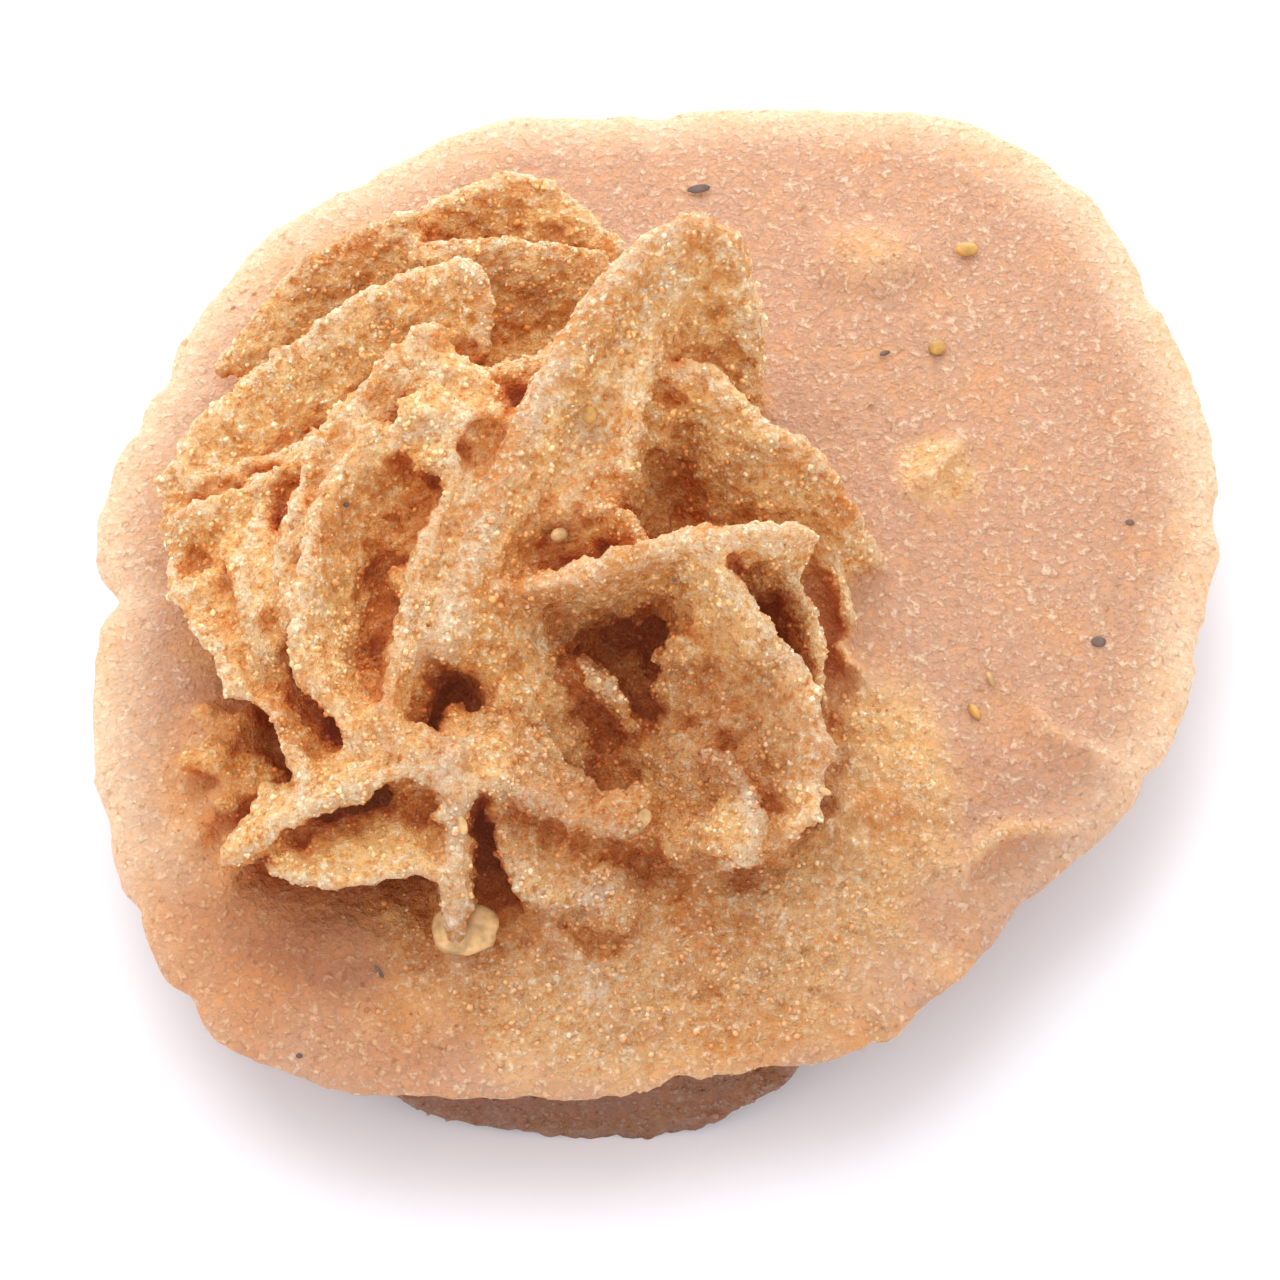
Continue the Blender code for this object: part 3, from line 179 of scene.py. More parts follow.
            (-10.7, 2.2, 12.8), (-9.7, 3.4, 13.1), (-8.4, 4.4, 13.3)],
        foot=[(-12.4, -3.6, 8.6), (-12.3, -2.2, 8.6), (-12, -0.6, 8.8), (-11.3, 0.8, 9),
            (-10.4, 2, 9.2), (-9.4, 3.1, 9.4), (-8.2, 4, 9.4)]),
    "ridge": dict(rim=(0.7, 0.7), root=(2.6, 2), band=0.5, flare=0.9,
        crest=[(-6.9, 1.2, 13.1), (-7.8, -0.9, 12.8), (-8.4, -2.5, 12.5), (-8.8, -4.5, 12),
            (-9.3, -6.5, 11.4), (-9.5, -8.4, 10.8)],
        foot=[(-6.4, 0.8, 8), (-7.1, -1, 8), (-7.6, -2.6, 8), (-8.4, -4.6, 8), (-9.1, -6.5, 8),
            (-9.4, -8.2, 8)]),
    "ridgeFill": dict(rim=(0.9, 0.9), root=(2.4, 2),
        crest=[(-6.2, 1.6, 12.6), (-6.9, -0.6, 12.1), (-7.5, -2.4, 11.7), (-7.9, -3.8, 11.2),
            (-8.1, -4.6, 10.6)],
        foot=[(-5.6, 1.4, 8), (-6.2, -0.8, 8), (-6.8, -2.6, 8), (-7.2, -3.9, 8), (-7.5, -4.7, 8)]),
    "outerBowl": dict(rim=(0.55, 0.5), root=(1.6, 1.6),
        crest=[(-13, -1.9, 11.9), (-12.7, 0, 12.4), (-12.1, 2.1, 13), (-11, 3.5, 13.4),
            (-9.7, 4.7, 13.8), (-8.7, 5.8, 14), (-7.5, 6.6, 14)],
        foot=[(-11.4, -2, 8.5), (-11, 0, 8.6), (-10.3, 1.6, 8.8), (-9.3, 2.7, 9), (-8.3, 3.6, 9.2),
            (-7.4, 4.4, 9.2), (-6.4, 5, 9.2)]),
    "crumbCrest": dict(rim=(0.6, 0.6), root=(2, 2),
        crest=[(-9.3, 2, 13.4), (-8, 2.3, 13.7), (-6.8, 2.5, 13.6), (-5.6, 2.9, 13.8)],
        foot=[(-9, 3.6, 9.6), (-7.9, 4, 9.6), (-6.8, 4.2, 9.6), (-5.4, 4.4, 9.6)]),
    "leftPetal": dict(rim=(0.5, 0.5), root=(2.4, 2.4),
        crest=[(-17.7, 0.4, 9.2), (-16.2, 1.4, 10), (-14.4, 1.9, 10.6), (-12.7, 2.5, 11.3),
            (-11.2, 3.1, 12)],
        foot=[(-16.2, -0.8, 7), (-15, -0.4, 7.4), (-13.6, 0, 8), (-12.2, 0.8, 8.4),
            (-11, 1.2, 8.8)]),
    "leftPetalBack": dict(rim=(0.4, 0.4), root=(1.5, 1.5),
        crest=[(-16.6, 2.3, 9.6), (-14.6, 3, 10.2), (-12.6, 3.3, 10.9), (-11.2, 4, 11.6)],
        foot=[(-15.6, 1, 7.2), (-14.2, 1.6, 7.6), (-12.6, 2.2, 8), (-11, 2.8, 8.4)]),
    "outerPetal": dict(rim=(0.45, 0.45), root=(2.6, 2.8),
        crest=[(-17.7, 0.6, 8.9), (-17.4, 3.1, 9.6), (-16.3, 5, 10), (-14.6, 6.3, 10.5),
            (-12.9, 7.4, 11.1), (-11.6, 8.3, 11.7)],
        foot=[(-15.4, 1, 7), (-14.6, 2.7, 7.6), (-13.4, 3.8, 8.2), (-12, 4.7, 8.8),
            (-10.6, 5.4, 9.2), (-9.6, 6.2, 9.4)]),
    "backPetal": dict(rim=(0.55, 0.6), root=(3, 3),
        crest=[(-12.7, 7.1, 11.4), (-11.3, 8.1, 12.3), (-9.2, 8.8, 13), (-7.4, 9.3, 13.3),
            (-6.4, 9.2, 13.2), (-6, 7.8, 12.5), (-6.1, 6.2, 11.8)],
        foot=[(-11, 4.8, 8.8), (-9.7, 5.4, 9), (-8.6, 5.8, 9.2), (-7.8, 6, 9.4), (-7.6, 5.8, 9.4),
            (-7.6, 5.4, 9.4), (-7.6, 5, 9.4)]),
    "farPetal": dict(rim=(0.45, 0.5), root=(1.8, 1.8),
        crest=[(-16.4, 8, 7.6), (-14, 10.4, 9.4), (-12, 11.7, 10.4), (-10.2, 12.5, 10.7),
            (-8.6, 13.2, 10.6)],
        foot=[(-13.8, 7.8, 7), (-12.3, 9, 7.4), (-10.9, 9.8, 7.6), (-9.6, 10.4, 7.8),
            (-8.2, 10.9, 7.8)]),
    "farLedge": dict(rim=(0.5, 0.45), root=(2, 1.8),
        crest=[(-10.2, 13.2, 9.2), (-7.9, 14.1, 9.8), (-6.1, 14.8, 10), (-4.3, 14.9, 10),
            (-2.3, 13.4, 9.7), (-1, 12.4, 9.2)],
        foot=[(-9, 11.4, 7.2), (-7.2, 11.8, 7.4), (-5.6, 12, 7.4), (-4, 12, 7.4),
            (-2.6, 11.4, 7.2), (-1.6, 10.8, 7)]),
    "middleLedge": dict(rim=(0.5, 0.45), root=(1.8, 1.6),
        crest=[(-9, 11.8, 10.4), (-6.4, 11.7, 10.8), (-3.9, 11.6, 10.8), (-1.5, 11.2, 10.5)],
        foot=[(-8.2, 9.8, 8), (-6.2, 9.6, 7.8), (-4, 9.6, 7.6), (-2, 9.4, 7.2)]),
    "innerBlade": dict(rim=(0.55, 0.5), root=(1.1, 1),
        crest=[(-3.1, -4.5, 9.8), (-2.1, -5.6, 9.7), (-1.4, -6.4, 9.3), (-0.8, -7, 8.7)],
        foot=[(-2.7, -4.3, 6.5), (-1.8, -5.2, 6.5), (-1.1, -6, 6.5), (-0.5, -6.6, 6.5)]),
    "apronRidge": dict(rim=(0.6, 0.5), root=(2.4, 2),
        crest=[(-4.6, -12, 7.8), (-3.6, -14, 7), (-2.2, -16, 6.3)],
        foot=[(-4.2, -11.6, 5), (-3.2, -13.6, 5), (-1.8, -15.6, 4.8)]),
    "nearShard": dict(rim=(0.5, 0.4), root=(0.9, 0.7),
        crest=[(6, 0.5, 7.9), (6.5, -1, 8.2), (6.9, -2.6, 7.6)],
        foot=[(5.8, 0.3, 6), (6.2, -1, 6), (6.6, -2.4, 6)]),
    "farShard": dict(rim=(0.5, 0.4), root=(0.9, 0.7),
        crest=[(6.1, -2.8, 7.5), (6.7, -3.5, 7.7), (7.5, -4.3, 7.1)],
        foot=[(5.9, -3, 6), (6.5, -3.8, 6), (7.1, -4.4, 6)]),
    "looseSliver": dict(rim=(0.3, 0.4), root=(0.9, 1),
        crest=[(9.1, 3.3, 6.9), (10, 4.5, 7.35), (11, 5.9, 7.1)],
        foot=[(9.2, 3.2, 5.6), (10.1, 4.4, 5.6), (11.1, 5.8, 5.6)]),
    "nearFold": dict(rim=(0.4, 0.4), root=(2.2, 2),
        crest=[(15.1, -9.5, 5.8), (13.3, -9.9, 6.35), (11.9, -10.2, 6.6), (11.2, -10.9, 6.5),
            (10.5, -11.9, 6.2), (9.7, -12.6, 5.9)],
        foot=[(14.3, -8.6, 4.9), (12.9, -8.7, 5.1), (11.2, -9, 5.3), (10.2, -10.1, 5.3),
            (9.5, -11, 5.1), (9, -11.8, 4.9)]),
    "stepFold": dict(rim=(0.4, 0.35), root=(2, 1.8),
        crest=[(13.2, -4.3, 6.3), (13.8, -5.6, 6.4), (15, -6.2, 6.2), (16.6, -7, 5.8)],
        foot=[(12.2, -4.6, 5.3), (12.8, -6.4, 5.2), (14.4, -7.2, 5), (16, -8, 4.8)]),
    "underFront": dict(rim=(0.6, 0.6), root=(3.2, 3),
        crest=[(-12.2, -15.6, 3.4), (-10.6, -17.2, 2.1), (-8.9, -18, 1.3), (-7.2, -18.3, 0.5),
            (-4.9, -18.6, 0.2), (-2.1, -18.7, -0.3), (0.7, -18.6, 0), (2.8, -18.1, 0.9),
            (4.7, -17, 1.8), (6.2, -15.6, 2.9), (7.4, -14.4, 3.8)],
        foot=[(-10, -13.4, 4.2), (-9.2, -14, 4), (-8, -14.6, 4), (-6.4, -15, 4), (-4.4, -15.3, 4),
            (-2, -15.4, 4), (0.4, -15.3, 4), (2.6, -15, 4), (4.4, -14.2, 4), (5.8, -13.4, 4),
            (6.8, -12.6, 4.2)]),
    "underCross": dict(rim=(0.6, 0.6), root=(2.2, 1.8),
        crest=[(-7.8, -17.4, 1.7), (-6.6, -15, 0.7), (-5.6, -12.4, 0.1), (-5.2, -9.6, 0)],
        foot=[(-6.6, -16.4, 4.2), (-5.6, -14.4, 4), (-4.8, -12, 3.6), (-4.4, -9.4, 3.2)]),
    "underSpur": dict(rim=(0.55, 0.5), root=(1.8, 1.6),
        crest=[(3.2, -17.2, 1.6), (2.4, -14.6, 0.8), (2.6, -11.8, 0.5)],
        foot=[(2.2, -16.4, 4.2), (1.6, -14.2, 3.8), (1.8, -11.6, 3.4)]),
    "underBack": dict(rim=(0.7, 0.7), root=(2.4, 2.4),
        crest=[(-13, 6, 1.2), (-10.5, 9, 0.3), (-7, 11, -0.2), (-3, 12, 0.3), (0.5, 12, 1.3)],
        foot=[(-10, 5, 3.4), (-8, 7, 3.4), (-5, 8.4, 3.4), (-2, 9, 3.4), (0.4, 9.2, 3.6)]),
    "underSide": dict(rim=(0.7, 0.7), root=(2.4, 2.2),
        crest=[(11.5, -7, 1.7), (13.4, -3.5, 0.9), (13.8, 0.5, 0.7), (12.8, 4, 1.3)],
        foot=[(9, -6, 3.4), (10.4, -3, 3.2), (10.8, 0.4, 3.2), (10.2, 3.4, 3.4)]),
    "backShelf": dict(rim=(1, 1), root=(2.4, 2.4),
        crest=[(-6.6, 4.9, 12.5), (-5.4, 5.3, 12.8), (-4.2, 5.7, 12.8), (-3.4, 6.4, 12.6)],
        foot=[(-6.2, 3, 9), (-5, 3.2, 9), (-3.8, 3.6, 9), (-3, 4.4, 9)]),
}

lumps = [
    ((-6.4, 1.6, 5.2), (8.3, 7.8, 3.4)), ((-5, 8, 5), (6.5, 5.5, 3.4)),
    ((-12, 2, 5.2), (5, 6.5, 3)), ((2.2, 1.2, 6), (4.6, 3.4, 2.4)),
    ((-9.2, -1.9, 8), (1.6, 3.8, 2.2)), ((-7.4, 3.9, 11.8), (1.9, 1.4, 1.4)),
    ((-6, 3.6, 12), (1, 0.9, 1.2)), ((-7.8, -8.9, 9.3), (2.2, 0.9, 1.2)),
    ((-4.8, -5, 7), (2, 2.6, 2.6)), ((-4.2, -7.2, 6.6), (2.2, 2, 2)),
    ((2, -7.6, 6.4), (3, 3, 2.2)), ((-8.7, 2.8, 13.9), (0.5, 0.5, 0.45)),
    ((-7.8, 3.3, 13.7), (0.35, 0.3, 0.35)), ((-7.1, 3.2, 13.6), (0.35, 0.3, 0.35)),
    ((-7.6, 4.8, 12.8), (1.1, 0.7, 0.8)), ((-6.3, 4.4, 12.6), (0.9, 0.7, 0.8)),
    ((-9, 4.4, 12.6), (0.8, 0.7, 0.8)), ((-8.9, -2.3, 11.2), (0.8, 0.35, 0.5)),
    ((-7.8, 1.3, 12.9), (0.9, 0.5, 0.4)), ((-1.9, -11.9, 7.6), (0.4, 0.4, 0.45)),
    ((-1.4, -10.6, 9), (1, 0.8, 0.7)), ((2.6, -10.8, 8), (1.3, 1.2, 1)),
    ((1, -10.6, 7.2), (1.5, 1.2, 1.1)), ((1, -4.4, 9.4), (1, 0.7, 0.8)),
    ((0.9, -5.6, 8.6), (1, 0.7, 0.7)), ((3, -7, 8.6), (1.1, 0.8, 0.7)),
    ((4.2, -7.6, 9.2), (0.5, 0.6, 0.6)), ((2.4, -8.6, 7.9), (1.2, 1, 0.8)),
    ((-6.4, -13.9, 6.3), (1, 1, 0.7)), ((-1.6, -13, 6.8), (0.8, 0.9, 0.7)),
    ((-2.4, -12, 7.6), (0.5, 0.5, 0.5)), ((-15.7, -7, 6.5), (0.9, 0.6, 0.6)),
    ((-14.4, -7.5, 6.7), (1, 0.6, 0.7)), ((-15, -8.6, 6.3), (0.9, 0.5, 0.5)),
    ((-13.6, -8.3, 6.8), (0.8, 0.7, 0.8)), ((-16, -5.3, 6.5), (0.7, 0.5, 0.5)),
    ((-14.6, -5.9, 6.6), (0.85, 0.6, 0.65)), ((-16.3, -9.8, 6), (0.5, 0.5, 0.5)),
    ((-8.3, 1.4, 10.9), (1.3, 1.2, 1.2)), ((-6.6, 2.6, 11.6), (1.6, 1, 1.2)),
    ((-6.35, 2.5, 12), (1, 0.8, 0.9)), ((-0.1, 4, 9.6), (0.9, 1.1, 2.4)),
    ((-8.9, -0.6, 9.8), (1, 1.2, 1.3)), ((-5.3, -6.8, 8.8), (0.8, 1.3, 1.3)),
    ((-5.5, -9.9, 8.7), (0.5, 0.8, 0.8)), ((-6.8, -7.5, 9.1), (1, 0.8, 0.9)),
    ((-5, -7.6, 8), (1.6, 1.2, 1.2)), ((-1.6, -3.2, 6.2), (2.2, 2, 0.9)),
    ((-2.7, -0.4, 10.1), (1.7, 1.2, 1.3)), ((-13.4, -2.1, 9.9), (0.8, 2.2, 1.2)),
    ((-13.3, -4.2, 9.4), (0.8, 1.4, 1)), ((-2.9, -12.4, 6.8), (1.6, 1, 1)),
    ((-1.2, -10.5, 8.9), (0.75, 0.6, 0.45)), ((7.6, 13.4, 6.3), (2.4, 1.7, 0.6)),
    ((7.6, -6.6, 5.7), (6.2, 5.8, 0.95)), ((-14.9, -0.7, 9.6), (0.6, 0.6, 0.6)),
    ((-15.8, -1.8, 9), (0.9, 0.7, 0.6))]

# Clods of sand grown on the skin: middle of the patch, its radius, how many, and their radii. The
# loose ones lie anywhere above their lowest height.
clods = [
    ((-7.8, -9.4, 10.2), 1.7, 46, 0.16, 0.4), ((-8, 2.8, 13), 2.3, 70, 0.18, 0.5),
    ((-3.2, -12.8, 7.6), 2.2, 46, 0.15, 0.42), ((1.5, -6.5, 8.6), 3.4, 80, 0.15, 0.5),
    ((-1.5, -4.5, 7.5), 2.8, 50, 0.15, 0.45), ((7, -8.5, 6.4), 3.8, 70, 0.12, 0.42),
    ((-0.5, -14.5, 6), 4.2, 110, 0.1, 0.32), ((-15, -7.8, 6.6), 2.4, 12, 0.25, 0.55),
    ((-15.2, -0.4, 9.8), 1.6, 30, 0.16, 0.38), ((-2, 3, 12.2), 3.2, 60, 0.12, 0.32),
    ((1, -2.6, 10), 2.8, 50, 0.12, 0.36), ((2.6, 7.6, 11), 2.4, 40, 0.15, 0.42),
    ((-7, -6.6, 8.8), 1.8, 30, 0.14, 0.36), ((-5, -7, 9), 2.2, 40, 0.14, 0.36)]
looseClods = dict(count=900, smallest=0.08, largest=0.26, lowest=7.4, seed=11)
clodShape = dict(turn=6.28, squash=(0.7, 1.3), lift=0.1)

# Where the disc is sandy: middle and radii across it, and how much.
sandyPatches = [
    ((0, -5), (5.6, 5.6), 1), ((-0.8, -13.4), (10.4, 5.8), 0.9), ((7.2, -8.6), (3.4, 5.4), 0.75),
    ((-15.2, -8.2), (2.8, 4), 0.35), ((10, 4.4), (1.5, 1.5), 0.6), ((-8, 13), (6.5, 2.8), 0.45),
    ((-6, 1), (9.5, 10.5), 1)]

# Patches of painted shade, and of painted shade mixed with stain: middle, radii and how much.
paintedShadePatches = [
    ((-1, -14, 6.2), (11.5, 5.5, 3.2), 0.85), ((3, -7.2, 8), (4.6, 4.4, 4), 0.9),
    ((-4, -9.5, 8.4), (5, 3.6, 2.6), 0.85), ((1.5, 2, 9), (4, 3, 3.4), 0.3),
    ((-2, -4.5, 9), (3, 3, 3.4), 0.55), ((11, -11, 6), (8, 5, 2), 0.45),
    ((-10.6, -14.3, 6.2), (4.6, 1.7, 1.6), 1), ((-7.9, -8.9, 9.9), (2, 1.3, 1.2), 0.8)]
shadeAndStainPatches = [
    ((-13, -13.5, 6), (5.5, 5, 2.2), 1), ((-15, -7.4, 6.4), (3.4, 3.4, 2), 0.8),
    ((-5.5, -13.4, 6.4), (5, 2, 1.4), 0.8), ((3, -17, 6), (5, 2, 1.4), 0.4),
    ((-9, -16.6, 5.6), (5, 2.6, 1.5), 0.7), ((-8.5, -3, 8), (2.4, 5, 2), 0.5),
    ((-10.6, -14.3, 6.2), (5, 1.9, 1.6), 1), ((-2.6, -10.2, 8.4), (5, 3, 2.4), 0.75),
    ((2, -6.4, 8.6), (3.8, 4.2, 3.4), 0.5)]

# Where a mask starts and where it is full, in millimetres, in shares of a radius or in noise.
maskSpans = dict(
    above=(0.15, 1.1), belly=(4.6, 3.4), bellyNoise=(-0.3, 0.4), sandy=(1.2, 0.6),
    band=(1.5, 0.85), paintedRimGlow=(0.86, 1.0), front=(-1.0, -0.2), crest=(0.7, 0.1),
    crestNoise=(-0.25, 0.35), crestSand=(0.2, 0.9), shadePatchEdge=(1.2, 0.5), broad=(0.05, 0.6),
    under=(4.6, 2.6), patch=(-0.1, 0.7))
# The noises that break the masks up: how fine they are, to a millimetre, and how strong.
maskWaves = dict(
    band=(0.8, 0.9), sandy=(0.5, 0.25), belly=(0.4, 1), crest=(1.7, 1), shadePatchEdge=(0.6, 0.3),
    broad=(0.2, 1), broadFine=(0.45, 0.5), patch=(0.45, 1), patchFine=(1.1, 0.6))
maskShares = dict(belly=(0.30, 0.4), band=(0.55, 0.5), broad=(0.1, 0.5), bare=0.35)

# How the joined crust is made, and how rough it is, in millimetres.
crust = dict(skinVoxel=0.25, voxel=0.17, fill=0.10, soften=0.5, triangles=186000, hollowReach=5)
relief = {"Lump Size": 1.5, "Lump Height": 0.90, "Clod Size": 0.6, "Clod Height": 0.95,
          "Grain Size": 0.30, "Grain Height": 0.20, "Disc Share": 0.12, "Bare Share": 0.85,
          "Bend": 0.5}
reliefNoise = {"Detail": 3.0, "Roughness": 0.55}
bendNoise = {"Scale": 2.5, "Detail": 1.0}


def smoothBetween(p0, p1, p2, p3, f):
    # the curve from p1 to p2, led by the values on either side
    return 0.5 * (2 * p1 + (p2 - p0) * f + (2 * p0 - 5 * p1 + 4 * p2 - p3) * f ** 2
                  + (3 * p1 - 3 * p2 + p3 - p0) * f ** 3)


def alongCurve(points, t):
    last = len(points) - 1
    place = min(max(t, 0.0), 1.0) * last
    i = min(int(place), last - 1)
    four = [Vector(points[min(max(i + k, 0), last)]) for k in (-1, 0, 1, 2)]
    return smoothBetween(*four, place - i)


def between(pair, t):
    return pair[0] + (pair[1] - pair[0]) * t


def ease(low, high, value):
    # 0 below low, 1 above high, smooth between; low may be the larger
    share = min(max((value - low) / (high - low), 0.0), 1.0)
    return share * share * (3 - 2 * share)


def loftRings(bm, rings):
    loops = [[bm.verts.new(p) for p in ring] for ring in rings]
    count = len(loops[0])
    for near, far in zip(loops, loops[1:]):
        for k in range(count):
            m = (k + 1) % count
            bm.faces.new((near[k], near[m], far[m], far[k]))
    bm.faces.new(tuple(reversed(loops[0])))
    bm.faces.new(tuple(loops[-1]))


def bladeRings(blade):
    crest, foot = blade["crest"], blade["foot"]
    steps = section["steps"] * (len(crest) - 1)
    probe = section["probe"]
    rings = []
    for i in range(steps + 1):
        t = i / steps
        top, base = alongCurve(crest, t), alongCurve(foot, t)
        forward = alongCurve(crest, min(t + probe, 1.0)) - alongCurve(crest, max(t - probe, 0.0))
        reach = (top - base).length
        up = (top - base) / reach
        side = forward.cross(up).normalized()
        fade = min(1.0, section["endShare"] + section["endRate"] * min(t, 1.0 - t))
        rim = between(blade["rim"], t) * fade
        root = between(blade["root"], t) * fade
        ring = []
        for sign in (1, -1):
            half = [top - up * (drop * rim) + side * (sign * width * rim)
                    for drop, width in section["rim"]]
            for share in section["down"]:
                width = 0.5 * (rim + (root - rim) * share ** blade.get("flare", section["flare"]))
                half.append(top - up * (share * reach) + side * (sign * width))
            ring += half if sign == 1 else reversed(half)
        rings.append(ring)
    return rings


def rimRadius(angle):
    radii = disc["rimRadii"]
    place = (angle % (2 * math.pi)) / (2 * math.pi / len(radii))
    i = int(place)
    radius = smoothBetween(*[radii[(i + k) % len(radii)] for k in (-1, 0, 1, 2)], place - i)
    for centre, depth, width in disc["nicks"]:
        off = (math.degrees(angle) - centre + 180) % 360 - 180
        radius -= depth * math.exp(-(off / width) ** 2)
    around = Vector((math.cos(angle), math.sin(angle), 0)) * disc["ragged"]
    return radius + disc["scallop"] * sum(share * noise.noise(around * finer)
                                          for share, finer in disc["octaves"])


def discTop(share):
    # height of the smooth top at a share of the rim radius
    rise = disc["domeRise"] * (1 - share ** 2) ** disc["domePower"]
    return disc["rimHeight"] + disc["rimShare"] * disc["rimThickness"] + rise


def discBelly(share):
    drop = disc["bellyDepth"] * (1 - share ** 2) ** disc["bellyPower"]
    return disc["rimHeight"] - disc["rimShare"] * disc["rimThickness"] - drop


def discRings():
    levels = [(u, discTop(u)) for u in disc["rings"]] + [(1.0, disc["rimHeight"])]
    levels += [(u, discBelly(u)) for u in reversed(disc["rings"])]
    turns = [2 * math.pi * k / disc["spokes"] for k in range(disc["spokes"])]
    radii = [rimRadius(a) for a in turns]
    return [[Vector((r * u * math.cos(a), r * u * math.sin(a), height))
             for a, r in zip(turns, radii)] for u, height in levels]


def bellyBlades():
    found = []
    for degrees, inner, outer, height in disc["bellyBlades"]:
        angle = math.radians(degrees)
        out = Vector((math.cos(angle), math.sin(angle), 0))
        skew = Vector((-out.y, out.x, 0)) * disc["bellySkew"]
        level, tip = Vector((0, 0, height)), Vector((0, 0, height + disc["bellyTip"]))
        crest = [out * inner + level, out * (inner + outer) / 2 + skew + level, out * outer + tip]
        foot = [p + Vector((0, 0, disc["bellyFoot"])) for p in crest]
        found.append(dict(rim=disc["bellyRim"], root=disc["bellyRoot"], crest=crest, foot=foot))
    return found


def newObject(name, mesh):
    made = bpy.data.objects.new(name, mesh)
    bpy.context.scene.collection.objects.link(made)
    return made


def applied(obj):
    # gives the object its mesh with the modifiers applied, and takes the modifiers off
    graph = bpy.context.evaluated_depsgraph_get()
    mesh = bpy.data.meshes.new_from_object(obj.evaluated_get(graph))
    obj.modifiers.clear()
    obj.data = mesh


def growForm():
    # every blade, lump and the disc as overlapping solids
    bm = bmesh.new()
    loftRings(bm, discRings())
    for blade in list(blades.values()) + bellyBlades():
        loftRings(bm, bladeRings(blade))
    for centre, radii in lumps:
        made = bmesh.ops.create_icosphere(bm, subdivisions=3, radius=1.0)
        for vert in made["verts"]:
            vert.co = Vector(centre) + Vector([c * r for c, r in zip(vert.co, radii)])
    bmesh.ops.recalc_face_normals(bm, faces=bm.faces)
    mesh = bpy.data.meshes.new("growth")
    bm.to_mesh(mesh)
    bm.free()
    return mesh


def voxelSkin(obj, size):
    skin = obj.modifiers.new("skin", "REMESH")
    skin.mode = "VOXEL"
    skin.voxel_size = size


def addClods(obj):
    # small clods pressed into the skin, thick in the crumbly places and thin over the rest
    draw = random.Random(looseClods["seed"])
    skin = BVHTree.FromObject(obj, bpy.context.evaluated_depsgraph_get())
    spots = []
    for middle, reach, count, smallest, largest in clods:
        for k in range(count):
            way = Vector([draw.gauss(0, 1) for axis in range(3)]).normalized()
            spots.append((Vector(middle) + way * reach * draw.random() ** 0.5,
                          draw.uniform(smallest, largest)))
    high = [vert.co for vert in obj.data.vertices if vert.co.z > looseClods["lowest"]]
    for k in range(looseClods["count"]):
        spots.append((draw.choice(high),
                      draw.uniform(looseClods["smallest"], looseClods["largest"])))
    bm = bmesh.new()
    bmesh.ops.create_icosphere(bm, subdivisions=1, radius=1.0)
    ballPoints = [vert.co.copy() for vert in bm.verts]
    ballFaces = [[vert.index for vert in face.verts] for face in bm.faces]
    bm.free()
    points, faces = [], []
    for spot, size in spots:
        at, normal = skin.find_nearest(spot)[:2]
        turn = Matrix.Rotation(draw.uniform(0, clodShape["turn"]), 3, normal) @ Matrix.Diagonal(
            [size * draw.uniform(*clodShape["squash"]) for axis in range(3)])
        faces += [[len(points) + k for k in face] for face in ballFaces]
        points += [at + normal * size * clodShape["lift"] + turn @ point for point in ballPoints]
    balls = bpy.data.meshes.new("clods")
    balls.from_pydata(points, [], faces)
    bm = bmesh.new()
    bm.from_mesh(obj.data)
    bm.from_mesh(balls)
    bm.to_mesh(obj.data)
    bm.free()


def joinForm(obj):
    # one skin round everything; swelling and shrinking it fills the sharp corners with sand
    for push in (crust["fill"], -crust["fill"]):
        voxelSkin(obj, crust["voxel"])
        swell = obj.modifiers.new("swell", "DISPLACE")
        swell.mid_level = 0.0
        swell.strength = push
    soften = obj.modifiers.new("soften", "SMOOTH")
    soften.factor, soften.iterations = crust["soften"], 1
    applied(obj)


def crestTree():
    # points along every crest, with the crest's half thickness and how bare its band is
    marks = []
    for blade in blades.values():
        steps = section["marks"] * (len(blade["crest"]) - 1)
        for i in range(steps + 1):
            t = i / steps
            marks.append((alongCurve(blade["crest"], t), between(blade["rim"], t) / 2,
                          blade.get("band", maskShares["bare"])))
    tree = kdtree.KDTree(len(marks))
    for i, mark in enumerate(marks):
        tree.insert(mark[0], i)
    tree.balance()
    return tree, marks


def span(name, value):
    return ease(*maskSpans[name], value)


def wave(name, p):
    finer, height = maskWaves[name]
    return height * noise.noise(p * finer)


def inPatches(name, p, patches):
    # how much the strongest of the patches covers the point, with ragged edges
    ragged = wave(name, p)
    return max(much * span(name, ragged + math.hypot(
        *[(at - centre) / radius for at, centre, radius in zip(p, middle, radii)]))
        for middle, radii, much in patches)


